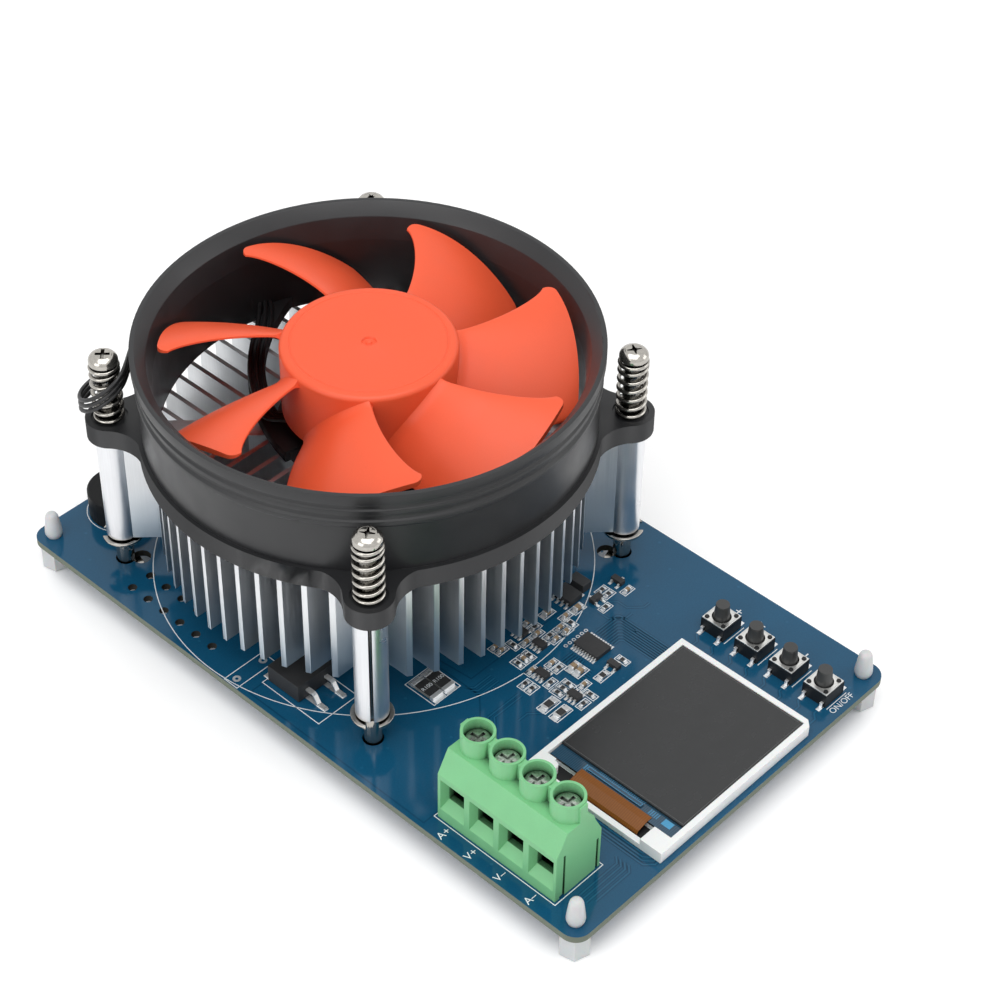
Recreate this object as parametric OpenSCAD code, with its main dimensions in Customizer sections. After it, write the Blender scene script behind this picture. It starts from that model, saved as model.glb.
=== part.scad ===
// Fan-cooled direct-current load: a circuit board on nylon feet with a four-way
// terminal block, a colour display, four push buttons and a round fan cooler on sprung screws.
// Millimetres. X runs across the short side, Y along the long side away from the user, Z up.
// The origin is the middle of the footprint at the bottoms of the feet.

/* [Board] */
// Width across the short side
board_w = 95.5; // [95.5:0.5:104]
// Length along the long side
board_l = 158.5; // [158.5:0.5:170]
// Laminate thickness
board_t = 1.6; // [1.2:0.2:2.4]
// Corner radius
board_corner = 3.5; // [1:0.5:4]

/* [Feet] */
// Foot height under the board
foot_h = 6.5; // [6:0.5:14]
// Foot width across flats
foot_af = 5.8; // [5:0.2:6.6]
// Distance from the board edges to a foot
foot_inset = 3.7; // [3.4:0.1:4.2]
// Width of the snap peg above the board
peg_d = 4.2; // [3.8:0.1:5]
// Height of the snap peg above the board
peg_h = 7.2; // [6:0.2:9]

/* [Terminal block] */
// Distance between two poles
pole_pitch = 7.62; // [7.6:0.02:8]
// Distance from the left edge to the front face of the block
block_edge = 4.25; // [3.25:0.05:4.75]
// Distance from the near edge to the middle of the block
block_near = 24.65; // [23.25:0.05:26.25]
// Depth from the wire side to the rear
block_depth = 12.5; // [12.5:0.1:13.5]
// Height of the upright front face
front_h = 12.2; // [12:0.1:12.8]
// Height of the deck in front of the screw towers
deck_h = 17.3; // [17.3:0.1:18]
// Height of the screw towers
tower_h = 21.7; // [21:0.1:24]
// Outer width of a screw tower
tower_d = 6.9; // [6.8:0.1:7.4]
// Screw thread width
clamp_screw_d = 3; // [2.6:0.1:3.2]
// Lift of a wire clamp
clamp_lift = 2.8; // [2:0.1:2.9]

/* [Display] */
// Frame length across the board
display_l = 46.7; // [45:0.1:47.2]
// Frame width along the board
display_w = 34.2; // [33:0.1:34.6]
// Frame height
display_t = 2.85; // [2.7:0.05:3.4]
// Frame middle across the board
display_x = 0.6; // [-0.5:0.1:1.2]
// Distance from the near edge to the middle of the frame
display_near = 18.3; // [17.85:0.05:19.25]
// Frame wall
display_wall = 1.35; // [1:0.05:1.6]

/* [Push buttons] */
// Distance from the right edge to the button row
button_edge = 13.75; // [11.75:0.05:15.15]
// Distance from the near edge to the middle of the button row
button_near = 19.8; // [19.25:0.05:21.25]
// Distance between two buttons
button_pitch = 8.9; // [7.6:0.1:9.4]
// Side of a switch
switch_side = 6; // [5.8:0.1:6.4]
// Height of the switch cover plate
cover_h = 3.5; // [3.4:0.1:4]
// Height of a plunger over the board
plunger_h = 7; // [5:0.5:9.5]
// Plunger width at the cover plate
plunger_d = 3.5; // [3:0.1:3.7]

/* [Cooler] */
// Fan axis across the board
cooler_x = -0.3; // [-0.3:0.1:0.3]
// Fan axis along the board
cooler_y = 21.6; // [21.4:0.1:22]
// Distance from the fan ring to the middle of a screw
screw_out = 5.633; // [5.633:0.001:6]
// Gap between the board and the heatsink
sink_gap = 8; // [7.6:0.1:9.5]
// Heatsink height
sink_h = 28; // [24:0.5:34]
// Distance from the outside of the fan ring to the fins
sink_in = 2.8; // [2.6:0.1:3.2]
// Fin thickness
fin_t = 1; // [0.8:0.1:1.4]
// Distance between two fins
fin_pitch = 4.7; // [4.5:0.1:4.9]
// Thickness of the diagonal arms
arm_t = 5; // [4:0.2:6]
// Radius of a screw post
post_r = 3.4; // [3.2:0.1:3.8]

/* [Fan frame] */
// Outer radius of the ring
ring_r = 47.4; // [47.2:0.1:47.4]
// Wall of the ring, from its outside to its bore
ring_wall = 4; // [3.7:0.1:4.3]
// Ring height
ring_h = 24.4; // [24:0.2:30]
// Overlap of the ring over the fins
skirt_h = 1; // [0.6:0.1:1.6]
// Radius of a screw ear
ear_r = 5; // [4.9:0.05:5.6]
// Thickness of the flange and the screw ears
ear_t = 4.6; // [4.2:0.1:5]
// Strut width
strut_w = 3.6; // [3:0.1:4.4]
// Strut thickness
strut_t = 2.6; // [2:0.1:2.8]

/* [Impeller] */
// Hub radius
hub_r = 18; // [17.4:0.1:18.6]
// Hub height
hub_h = 15.9; // [15:0.1:16.2]
// Gap between the blade tips and the bore
tip_gap = 1.3; // [0.9:0.1:3.4]
// Blade thickness
blade_t = 1.3; // [1:0.1:1.8]
// Shaft width
shaft_d = 3; // [2.4:0.1:3.4]

/* [Mounting screws] */
// Screw shank width
screw_d = 3.8; // [3.4:0.1:4]
// Screw head width
head_d = 6; // [5.8:0.1:6.6]
// Length of the pressed spring
spring_l = 14.2; // [12:0.2:16]
// Outer width of the spring
spring_d = 6.5; // [6.3:0.1:6.8]
// Spring wire width
spring_wire_d = 0.9; // [0.7:0.05:0.9]

/* [Supply jack] */
// Jack position across the board
jack_x = 22; // [16:0.5:30]
// Jack bore width
jack_bore_d = 6.2; // [5.8:0.1:6.6]
// Jack centre pin width
jack_pin_d = 2.1; // [2:0.1:2.5]

/* [Hidden] */
$fn = 48;
// shared heights
board_top = foot_h + board_t;
sink_z = board_top + sink_gap;
sink_top = sink_z + sink_h;
flange_z = sink_top - skirt_h;
ring_top = flange_z + ring_h;
ear_top = flange_z + ear_t;
slit = 0.05;
over = 1;
// feet
peg_neck_d = 3;
peg_slot = 0.8;
foot_hole_d = 3.2;
// shared places
block_x = -board_w / 2 + block_edge;
block_y = -board_l / 2 + block_near;
display_y = -board_l / 2 + display_near;
button_x = board_w / 2 - button_edge;
button_y = -board_l / 2 + button_near;
screw_reach = ring_r + screw_out;
sink_r = ring_r - sink_in;
ring_bore_r = ring_r - ring_wall;
blade_r = ring_bore_r - tip_gap;
// terminal block, depths measured from the front face and heights from the board
block_l = 4 * pole_pitch;
slope_run = 2.8;
tower_run = 7;
web_run = 1.7;
rear_top_run = 10.1;
rear_top_h = 16.3;
rear_mid_run = 10.5;
rear_mid_h = 15;
rear_low_h = 10.8;
tower_bore_d = 5.8;
screw_seat_h = 16.2;
clamp_head_d = 5.2;
clamp_head_h = 2.4;
chamber_half = 3.05;
chamber_floor = 1.5;
chamber_front = 2.9;
chamber_rear = 9.95;
leg_pocket_rear = 11.05;
entry_half = 2.35;
entry_low = 4.9;
entry_high = 9.5;
funnel_half = 3.15;
funnel_low = 2.7;
funnel_high = 11;
funnel_depth = 1.7;
bar_low = 9.7;
bar_t = 1;
bar_half = 2;
leg_t = 0.8;
leg_rear = 10.9;
pin_half = 0.5;
pin_below = 2.2;
pin_hole_d = 1.7;
clamp_half = 2.75;
clamp_inside = 2.2;
clamp_len = 5.3;
clamp_low = 4;
clamp_floor_t = 0.8;
clamp_top_low = 11;
clamp_top_t = 1.6;
chamber_top = clamp_top_low + clamp_top_t + clamp_lift + 0.2;
groove_w = 0.6;
groove_depth = 0.8;
// display
tray_floor = 0.5;
low_wall_h = 1.3;
corner_block_l = 4.4;
corner_block_w = 5.4;
hook_l = 4.2;
hook_w = 2.4;
guide_t = 1;
cell_t = 0.6;
ledge_l = 3.4;
flex_w = 18;
flex_t = 0.15;
flex_slot_w = 18.6;
flex_slot = 0.6;
flex_off = 0.45;
driver_w = 1;
driver_l = 14;
driver_t = 0.35;
// push buttons
cover_t = 0.3;
rivet_d = 0.9;
rivet_off = 2.15;
plunger_top_d = plunger_d - 0.6;
plunger_hole_d = plunger_d + 0.6;
plunger_flange_d = plunger_d + 0.8;
switch_pocket_d = plunger_flange_d + 0.6;
plunger_low = 1.5;
plunger_flange_t = 1.2;
switch_floor = 0.9;
leg_off = 2.25;
leg_w = 0.7;
leg_sheet = 0.2;
// cooler
fin_count = 6;
core_r = 15;
post_bore_d = screw_d + 0.8;
post_slot = 2.4;
pad_t = 0.5;
device_t = 5;
device_w = 15.9;
device_l = 20.8;
tab_t = 2;
core_drop = sink_gap - device_t - pad_t;
second_hole_d = 4;
second_hole_off = 3.3;
// fan frame
skirt_r = sink_r + 0.8;
wall_r = ring_r - 0.9;
ear_fillet = 8;
ear_bite = 0.3;
ear_hole_d = screw_d + 1;
counterbore_d = spring_d + 1;
counterbore_h = 0.4;
post_gap = 0.3;
pocket_h = skirt_h + 0.2;
base_gap = 0.4;
base_t = 2;
base_r = 19.3;
base_top = sink_top + base_gap + base_t;
strut_top = sink_top + base_gap + strut_t;
strut_arc_r = 51.2;
strut_arc_off = 32.5;
strut_turn = -11.5;
lead_slot_w = 4.8;
lead_slot_h = 4.4;
lead_slot_turn = 76;
// fan motor
hub_top = ring_top - 1.1;
hub_z = hub_top - hub_h;
hub_wall = 1.6;
hub_roof = 2;
hub_round = 1;
yoke_r = hub_r - hub_wall - slit;
yoke_t = 1;
magnet_r = yoke_r - yoke_t - slit;
magnet_t = 2.4;
magnet_h = 8.6;
stator_r = magnet_r - magnet_t - 0.4;
stator_h = 6;
stator_z = hub_z + 2;
pole_neck = 3;
pole_cap_t = 1.8;
stator_hub_r = 6.4;
coil_over = 1.5;
tube_r = 4.6;
bearing_r = 3.6;
tube_top = hub_top - hub_roof - 3;
fan_board_r = 16;
fan_board_t = 1;
fan_board_z = base_top + 1.2;
// blades, angles in degrees and shares along the span and the chord
blade_count = 7;
blade_top = hub_top - 1.4;
blade_low = hub_z + 0.4;
lead_root = 329.3;
lead_tip = 342.5;
trail_root = 280.5;
trail_tip = 305.5;
span_steps = 7;
chord_steps = 9;
// mounting screws
head_h = 2.2;
spring_foot = ear_top - counterbore_h;
head_low = spring_foot + spring_l;
nut_af = 6.6;
nut_h = 2.8;
screw_end = board_top - board_t - nut_h - 0.6;
clip_d = 8.8;
clip_t = 0.7;
clip_z = sink_z - 0.5 - clip_t;
clip_groove_d = screw_d - 0.8;
spring_turns = 7;
spring_steps = 12;
spring_sides = 6;
// fan lead
wire_d = 0.95;
wire_step = 1.4;
wire_sides = 8;
wrap_out = 0.6;
wrap_r = 5.05;
wrap_turns = 0.75;
wrap_steps = 14;
wrap_half = wrap_turns / 2;
wrap_mid = ear_top + 7.5;
wrap_tilt = 3;
lead_r = ring_r + 1.2;
plug_x = -12;
plug_y = 51;
plug_pitch = 2.54;
plug_l = 8.4;
plug_w = 5;
plug_h = 9;
header_h = 3.2;
header_pin = 0.64;
plug_top = board_top + header_h + plug_h;
// other devices on the board
jack_w = 9;
jack_l = 14.2;
jack_h = 11;
jack_axis_h = 6.5;
jack_depth = 10;
jack_end = board_l / 2;
buzzer_x = -board_w / 2 + 19.25;
buzzer_y = board_l / 2 - 7.75;
buzzer_r = 7;
buzzer_h = 6.6;
buzzer_hole_d = 2;
edge_x = -board_w / 2 + 11.15;
edge_y = 6;
edge_l = 10;
edge_w = 9;
edge_t = 4.4;
chips_near = 79.25;
chips_y = -board_l / 2 + chips_near;
mcu_x = 11.05;
mcu_y = -30.7;
mcu_l = 6.5;
mcu_w = 4.4;
mcu_pitch = 0.65;
mcu_h = 1;
wing_run = 1.05;
vent_x = [-board_w / 2 + 4.75, -board_w / 2 + 9.75];
vent_y = [26 : 5 : 51];
vent_d = 2;
shunt_l = 6.4;
shunt_w = 3.2;
shunt_h = 0.8;
shunt_x = -19.4;
shunt_y = [-16.6, -12.4];
// small parts on the board: middle x, middle y, turn, with y = 0 at chips_y
six_pin = [[-1.9, -28.6, 0], [4, -22.5, 0], [4, -17.2, 0], [-1.8, -37.4, 0]];
three_pin = [[10.2, -37.4, 0], [22.1, -21.9, 90], [29.5, -21.6, 0]];
eight_pin = [[18.6, -17, 0]];
eight_pin_l = 4.9;
eight_pin_w = 3.9;
diode_place = [23, -16.5, 90];
small_caps = [
    [-2.7, -16.2, 0], [-2.6, -17.8, 0], [2.7, -19.9, 0], [6.1, -19.9, 0], [7.1, -16.2, 0], [7.7, -23.7, 0],
    [10.7, -22.1, 0], [10.8, -23.7, 0], [14, -20.6, 0], [-2.5, -26.3, 0], [1.9, -27.8, 0], [1.9, -36.6, 0],
    [28.9, -24.8, 0], [-1.2, -22.8, 90]
];
large_caps = [[17.5, -20.9, 0], [4.2, -31.7, 0], [4.2, -33.5, 0], [12, -17.2, 0]];
small_resistors = [
    [7.1, -18.2, 0], [7.5, -22.1, 0], [-6.2, -27.8, 0], [-6.2, -29.7, 0], [1.9, -29.7, 0], [-2.4, -31.3, 0],
    [-2.1, -40, 0], [25.2, -20.9, 0], [25.2, -22.7, 0], [21.8, -24.9, 0], [0.2, -18.5, 90], [-3, -22.8, 90],
    [0.3, -22.8, 90], [13.3, -22.7, 90], [-3.4, -34.1, 90], [-1.8, -34.1, 90], [-0.1, -34.1, 90],
    [0.8, -39.3, 90], [12.7, -37.6, 90]
];
middle_resistors = [[6.5, -37.6, 0]];
large_resistors = [[-7.1, -35.1, 0], [-7.1, -38.4, 0]];

// Piece to draw

// Direction of unit length
function unit(v) = v / norm(v);

// Middle of a pole along the board, poles counted from the far end
function pole_y(pole) = block_y + (2.5 - pole) * pole_pitch;

// Middle of a button along the board, buttons counted from the far end
function row_y(place) = button_y + (2.5 - place) * button_pitch;

// Places of the four mounting screws
module at_screws() {
    for (turn = [45 : 90 : 315])
        translate([cooler_x, cooler_y, 0])
            rotate(turn)
                translate([screw_reach, 0, 0])
                    children();
}

// Places of the four feet
module at_feet() {
    for (x = [-1, 1], y = [-1, 1])
        translate([x * (board_w / 2 - foot_inset), y * (board_l / 2 - foot_inset), 0])
            children();
}

// Places of a list of small parts on the board
module at_places(places) {
    for (place = places)
        translate([place[0], chips_y + place[1], board_top])
            rotate(place[2])
                children();
}

// Block standing on z = 0 with its middle on the z axis
module block(size) {
    translate([-size[0] / 2, -size[1] / 2, 0])
        cube(size);
}

// Plate with rounded upright edges, standing on z = 0
module rounded_plate(w, l, t, r) {
    union() {
        block([w - 2 * r, l, t]);
        block([w, l - 2 * r, t]);
        for (x = [-1, 1], y = [-1, 1])
            translate([x * (w / 2 - r), y * (l / 2 - r), 0])
                cylinder(r = r, h = t);
    }
}

// Board with its holes
module circuit_board() {
    color("SteelBlue")
    difference() {
        translate([0, 0, foot_h])
            rounded_plate(board_w, board_l, board_t, board_corner);
        translate([0, 0, foot_h - over]) {
            at_feet()
                cylinder(d = foot_hole_d, h = board_t + 2 * over);
            at_screws() {
                cylinder(d = screw_d + 0.6, h = board_t + 2 * over);
                translate([-second_hole_off, 0, 0])
                    cylinder(d = second_hole_d, h = board_t + 2 * over);
            }
            for (pole = [1 : 4])
                translate([block_x + leg_rear - leg_t / 2, pole_y(pole), 0])
                    cylinder(d = pin_hole_d, h = board_t + 2 * over);
            for (x = vent_x, y = vent_y)
                translate([x, y, 0])
                    cylinder(d = vent_d, h = board_t + 2 * over);
            for (pin = [-1, 0, 1]) {
                translate([cooler_x + plug_x + pin * plug_pitch, cooler_y + plug_y, 0])
                    cylinder(d = 1.1, h = board_t + 2 * over);
                translate([cooler_x + pin * 5.45, cooler_y - device_l / 2 - 4, 0])
                    cylinder(d = 1.8, h = board_t + 2 * over);
            }
            for (place = [[0, 1.5], [0, 7.5]])
                translate([jack_x + place[0], jack_end - jack_l + place[1], 0])
                    cylinder(d = 2.6, h = board_t + 2 * over);
            translate([jack_x - jack_w / 2 - 0.3, jack_end - jack_l + 3.5, 0])
                cylinder(d = 2.6, h = board_t + 2 * over);
        }
    }
}

// Nylon feet: six-sided foot under the board, split snap peg above it
module board_feet() {
    color("WhiteSmoke")
    at_feet() {
        difference() {
            union() {
                cylinder(d = foot_af / cos(30), h = foot_h, $fn = 6);
                cylinder(d = peg_neck_d, h = board_top + slit);
                translate([0, 0, board_top])
                    rotate_extrude()
                        polygon([
                            [0, 0], [peg_d / 2 - 0.25, 0], [peg_d / 2, 0.5], [peg_d / 2 - 0.1, peg_h * 0.5],
                            [peg_d / 2 - 0.35, peg_h * 0.72], [peg_d / 2 - 0.75, peg_h * 0.87],
                            [peg_d / 2 - 1.2, peg_h * 0.96], [peg_d / 2 - 1.6, peg_h], [0, peg_h]
                        ]);
            }
            translate([-peg_slot / 2, -peg_d, foot_h])
                cube([peg_slot, 2 * peg_d, board_t + peg_h * 0.45]);
        }
    }
}

// Side outline of the terminal block, depth by height
module block_outline() {
    polygon([
        [0, 0], [0, front_h], [slope_run, deck_h], [tower_run - web_run / 2, deck_h],
        [tower_run - web_run / 2, tower_h - 0.4], [tower_run + web_run / 2 + 0.3, tower_h - 0.4],
        [tower_run + web_run / 2 + 0.3, deck_h + 1.3], [rear_top_run, rear_top_h],
        [rear_mid_run, rear_mid_h], [block_depth, rear_low_h], [block_depth, 0]
    ]);
}

// Wire entry of one pole with its funnel
module wire_entry() {
    intersection() {
        translate([0, funnel_half, 0])
            rotate([90, 0, 0])
                linear_extrude(2 * funnel_half)
                    polygon([
                        [-slit, funnel_low], [funnel_depth, entry_low], [funnel_depth, entry_high],
                        [-slit, funnel_high]
                    ]);
        linear_extrude(front_h)
            polygon([
                [-slit, -funnel_half], [funnel_depth, -entry_half], [funnel_depth, entry_half],
                [-slit, funnel_half]
            ]);
    }
    translate([funnel_depth - slit, -entry_half, entry_low])
        cube([chamber_front - funnel_depth + 2 * slit, 2 * entry_half, entry_high - entry_low]);
}

// Green block with wire entries, clamp chambers and screw towers
module terminal_housing() {
    color("MediumSeaGreen")
    translate([block_x, 0, board_top])
    difference() {
        union() {
            translate([0, block_y + block_l / 2, 0])
                rotate([90, 0, 0])
                    linear_extrude(block_l)
                        block_outline();
            for (pole = [1 : 4])
                translate([tower_run, pole_y(pole), chamber_top])
                    cylinder(d = tower_d, h = tower_h - chamber_top);
        }
        for (pole = [1 : 4])
            translate([0, pole_y(pole), 0]) {
                wire_entry();
                translate([chamber_front, -chamber_half, chamber_floor])
                    cube([chamber_rear - chamber_front, 2 * chamber_half, chamber_top - chamber_floor]);
                translate([chamber_rear - slit, -bar_half - slit, chamber_floor])
                    cube([leg_pocket_rear - chamber_rear + slit, 2 * bar_half + 2 * slit, bar_low + bar_t]);
                translate([leg_rear - leg_t - slit, -pin_half - slit, -over])
                    cube([leg_t + 2 * slit, 2 * pin_half + 2 * slit, chamber_floor + 2 * over]);
                translate([tower_run, 0, chamber_top - slit])
                    cylinder(d = clamp_screw_d + 0.6, h = tower_h);
                translate([tower_run, 0, screw_seat_h])
                    cylinder(d = tower_bore_d, h = tower_h);
                translate([1.2, -pole_pitch / 2 - 0.3, -slit])
                    cube([1.4, 0.6, 0.8]);
            }
        translate([2, block_y - block_l / 2 - slit, -slit])
            cube([groove_w, groove_depth, front_h - 0.7]);
        translate([block_depth - 1.2, block_y - block_l / 2 - slit, -slit])
            cube([groove_w, groove_depth, 8.5]);
    }
}

// Contact bars with their rear legs and solder pins
module terminal_contacts() {
    color("Silver")
    for (pole = [1 : 4])
        translate([block_x, pole_y(pole), board_top])
            union() {
                translate([3.4, -bar_half, bar_low])
                    cube([leg_rear - 3.4, 2 * bar_half, bar_t]);
                translate([leg_rear - leg_t, -1.5, chamber_floor])
                    cube([leg_t, 3, bar_low + bar_t - chamber_floor]);
                translate([leg_rear - leg_t, -pin_half, -board_t - pin_below])
                    cube([leg_t, 2 * pin_half, board_t + pin_below + bar_low]);
            }
}

// Clamp screw of one pole with a slotted head
module terminal_screw(pole) {
    color("Silver")
    translate([block_x + tower_run, pole_y(pole), board_top])
        difference() {
            union() {
                translate([0, 0, screw_seat_h + slit])
                    cylinder(d = clamp_head_d, h = clamp_head_h);
                translate([0, 0, bar_low + bar_t + 0.25])
                    cylinder(d = clamp_screw_d, h = screw_seat_h - bar_low - bar_t);
            }
            translate([-2, -0.4, screw_seat_h + clamp_head_h - 0.8])
                cube([4, 0.8, 2]);
        }
}

// Lifting wire clamp of one pole
module wire_clamp(pole) {
    color("Gold")
    translate([block_x + tower_run - clamp_len / 2, pole_y(pole), board_top])
        difference() {
            translate([0, -clamp_half, clamp_low])
                cube([clamp_len, 2 * clamp_half, clamp_top_low + clamp_top_t - clamp_low]);
            translate([-over, -clamp_inside, clamp_low + clamp_floor_t])
                cube([clamp_len + 2 * over, 2 * clamp_inside, clamp_top_low - clamp_low - clamp_floor_t]);
            translate([clamp_len / 2, 0, clamp_top_low - over])
                cylinder(d = clamp_screw_d + 0.1, h = clamp_top_t + 2 * over);
        }
}

// White tray that holds the display, open towards the flex
module display_frame() {
    left = -display_l / 2;
    near = -display_w / 2;
    color("White")
    translate([display_x, display_y, board_top])
        difference() {
            block([display_l, display_w, display_t]);
            difference() {
                translate([left + display_wall, near + display_wall, tray_floor])
                    cube([display_l - 2 * display_wall, display_w - 2 * display_wall, display_t]);
                translate([left, near, 0])
                    cube([corner_block_l, corner_block_w, display_t]);
                translate([left, -near - display_wall - hook_w, 0])
                    cube([hook_l, display_wall + hook_w, display_t]);
            }
            translate([left - over, near + corner_block_w, low_wall_h])
                cube([
                    display_wall + 2 * over, display_w - corner_block_w - hook_w - display_wall, display_t
                ]);
            translate([left + display_wall + flex_off - flex_slot / 2, -flex_slot_w / 2 - 0.6, -over])
                cube([flex_slot, flex_slot_w, tray_floor + 2 * over]);
            translate([-left - 1.3, near, -over])
                rotate(-45)
                    cube([4, 4, display_t + 2 * over]);
        }
}

// Inside of the tray, from the corner block to the far wall
cell_l = display_l - 2 * display_wall - corner_block_l + 0.8;
cell_w = display_w - 2 * display_wall - 0.2;
cell_x = display_x + display_l / 2 - display_wall - 0.1 - cell_l / 2;

// Light guide under the cell
module display_light_guide() {
    color("Gainsboro")
    translate([cell_x, display_y, board_top + tray_floor])
        block([cell_l, cell_w, guide_t]);
}

// Glass cell: long lower glass with a ledge, shorter upper glass with the dark film
module display_glass() {
    color("DimGray")
    translate([cell_x, display_y, board_top + tray_floor + guide_t])
        union() {
            block([cell_l, cell_w, cell_t]);
            translate([ledge_l / 2, 0, cell_t])
                block([cell_l - ledge_l, cell_w, cell_t]);
        }
}

// Driver bar bonded on the glass ledge
module display_driver() {
    color("SlateGray")
    translate([
        cell_x - cell_l / 2 + ledge_l - 1.3, display_y + 0.6, board_top + tray_floor + guide_t + cell_t
    ])
        block([driver_w, driver_l, driver_t]);
}

// Amber flex from the glass ledge down through a slot beside the low wall to the board
module display_flex() {
    ledge = cell_x - cell_l / 2;
    top = tray_floor + guide_t + cell_t;
    slot = display_x - display_l / 2 + display_wall + flex_off;
    fold = low_wall_h + 0.2;
    color("DarkOrange")
    translate([0, display_y - 0.6 + flex_w / 2, board_top])
        rotate([90, 0, 0])
            linear_extrude(flex_w)
                polygon([
                    [ledge + 1.2, top], [ledge + 1.2, top + flex_t], [ledge - 0.4, top + flex_t],
                    [slot + 0.35, fold + flex_t], [slot - flex_t / 2, fold - 0.4], [slot - flex_t / 2, 0],
                    [slot + flex_t / 2, 0], [slot + flex_t / 2, fold - 0.45], [slot + 0.4, fold],
                    [ledge - 0.4, top]
                ]);
}

// Places of the four switches
module at_switches() {
    for (place = [1 : 4])
        translate([button_x, row_y(place), board_top])
            children();
}

// Black switch bases with four rivets each
module switch_bases() {
    color("Black")
    at_switches() {
        difference() {
            block([switch_side, switch_side, cover_h - cover_t]);
            translate([0, 0, switch_floor])
                cylinder(d = switch_pocket_d, h = cover_h);
        }
        for (x = [-1, 1], y = [-1, 1])
            translate([x * rivet_off, y * rivet_off, cover_h - cover_t - slit])
                cylinder(d = rivet_d, h = cover_t + 0.25);
    }
}

// Metal covers riveted on the bases
module switch_covers() {
    color("Silver")
    at_switches()
        translate([0, 0, cover_h - cover_t])
            difference() {
                block([switch_side - 0.2, switch_side - 0.2, cover_t]);
                translate([0, 0, -over])
                    cylinder(d = plunger_hole_d, h = cover_t + 2 * over);
                for (x = [-1, 1], y = [-1, 1])
                    translate([x * rivet_off, y * rivet_off, -over])
                        cylinder(d = rivet_d + 0.1, h = cover_t + 2 * over);
            }
}

// Gull-wing legs on the two sides of each switch
module switch_legs() {
    half = switch_side / 2;
    color("Silver")
    at_switches()
        for (turn = [0, 180], y = [-1, 1])
            rotate(turn)
                translate([0, y * leg_off + leg_w / 2, 0])
                    rotate([90, 0, 0])
                        linear_extrude(leg_w)
                            polygon([
                                [half, 1.3], [half + 0.6, 1.3], [half + 0.6, leg_sheet],
                                [half + 1.5, leg_sheet],
                                [half + 1.5, 0], [half + 0.4, 0], [half + 0.4, 1.1], [half, 1.1]
                            ]);
}

// Tapered plunger of one switch with its hidden flange
module plunger(place) {
    color("DimGray")
    translate([button_x, row_y(place), board_top])
        union() {
            translate([0, 0, plunger_low])
                cylinder(d = plunger_flange_d, h = plunger_flange_t);
            translate([0, 0, plunger_low])
                cylinder(d = plunger_d, h = cover_h - plunger_low + 0.3);
            translate([0, 0, cover_h + 0.3])
                cylinder(d1 = plunger_d, d2 = plunger_top_d, h = plunger_h - cover_h - 0.3);
        }
}

// Round sounder with a small sound hole
module buzzer() {
    color("Black")
    translate([buzzer_x, buzzer_y, board_top])
        difference() {
            rotate_extrude()
                polygon([
                    [0, 0], [buzzer_r, 0], [buzzer_r, buzzer_h - 0.4], [buzzer_r - 0.4, buzzer_h],
                    [0, buzzer_h]
                ]);
            translate([0, 0, buzzer_h - 1])
                cylinder(d = buzzer_hole_d, h = 2);
        }
}

// Supply jack housing with its round bore towards the far edge
module supply_jack() {
    color("Black")
    translate([jack_x, jack_end, board_top])
        difference() {
            union() {
                translate([-jack_w / 2, -jack_l, 0])
                    cube([jack_w, jack_l, jack_axis_h]);
                translate([0, 0, jack_axis_h])
                    rotate([90, 0, 0])
                        cylinder(d = jack_w - 0.2, h = jack_l);
                translate([-jack_w / 2, -3.2, 0])
                    cube([jack_w, 3.2, jack_h]);
            }
            translate([0, over, jack_axis_h])
                rotate([90, 0, 0])
                    cylinder(d = jack_bore_d, h = jack_depth + over);
            translate([0, -jack_depth + slit, jack_axis_h])
                rotate([90, 0, 0])
                    cylinder(d = jack_pin_d + 0.1, h = jack_l);
            translate([-1.05, -jack_l - slit, -slit])
                cube([2.1, 2.2, jack_axis_h]);
            translate([-1.05, -jack_l + 6.45, -slit])
                cube([2.1, 2.1, jack_axis_h - jack_bore_d / 2 + 2 * slit]);
            translate([-jack_w / 2 - slit, -jack_l + 2.45, -slit])
                cube([0.9, 2.1, 5]);
        }
}

// Jack centre pin with its tail, sleeve tail and switch tail
module supply_jack_contacts() {
    tail = board_t + 2;
    color("Silver")
    translate([jack_x, jack_end, board_top]) {
        translate([0, -1.5, jack_axis_h])
            rotate([90, 0, 0])
                cylinder(d = jack_pin_d, h = jack_l - 1.5);
        translate([-1, -jack_l + 1.2, -tail])
            cube([2, 0.6, tail + jack_axis_h - jack_pin_d / 2 + 0.3]);
        translate([-1, -jack_l + 7.2, -tail])
            cube([2, 0.6, tail + jack_axis_h - jack_bore_d / 2 - 0.1]);
        translate([-jack_w / 2 - 0.2, -jack_l + 2.5, -tail])
            cube([0.6, 2, tail + 4.8]);
    }
}

// Place of the fan header on the board
module at_header() {
    translate([cooler_x + plug_x, cooler_y + plug_y, board_top])
        children();
}

// Header base with its upright friction wall
module fan_header() {
    color("White")
    at_header()
        difference() {
            union() {
                block([plug_l, plug_w + 1.4, header_h]);
                translate([0, plug_w / 2 + 0.25, 0])
                    block([plug_l - 3, 0.9, header_h + plug_h - 1.5]);
            }
            for (pin = [-1, 0, 1])
                translate([pin * plug_pitch, 0, -over])
                    block([header_pin + 0.1, header_pin + 0.1, header_h + 2 * over]);
        }
}

// Three header pins
module fan_header_pins() {
    color("Gold")
    at_header()
        for (pin = [-1, 0, 1])
            translate([pin * plug_pitch, 0, -board_t - 1.6])
                block([header_pin, header_pin, board_t + 1.6 + header_h + plug_h - 3]);
}

// Plug of the fan lead, pushed on the header
module fan_plug() {
    color("White")
    at_header()
        translate([0, -0.45, header_h])
            difference() {
                block([plug_l, plug_w - 0.5, plug_h]);
                for (pin = [-1, 0, 1])
                    translate([pin * plug_pitch, 0.45, -over]) {
                        block([header_pin + 0.2, header_pin + 0.2, plug_h]);
                        translate([0, 0, plug_h - 1])
                            cylinder(d = wire_d + 0.2, h = 3);
                    }
            }
}

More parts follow.
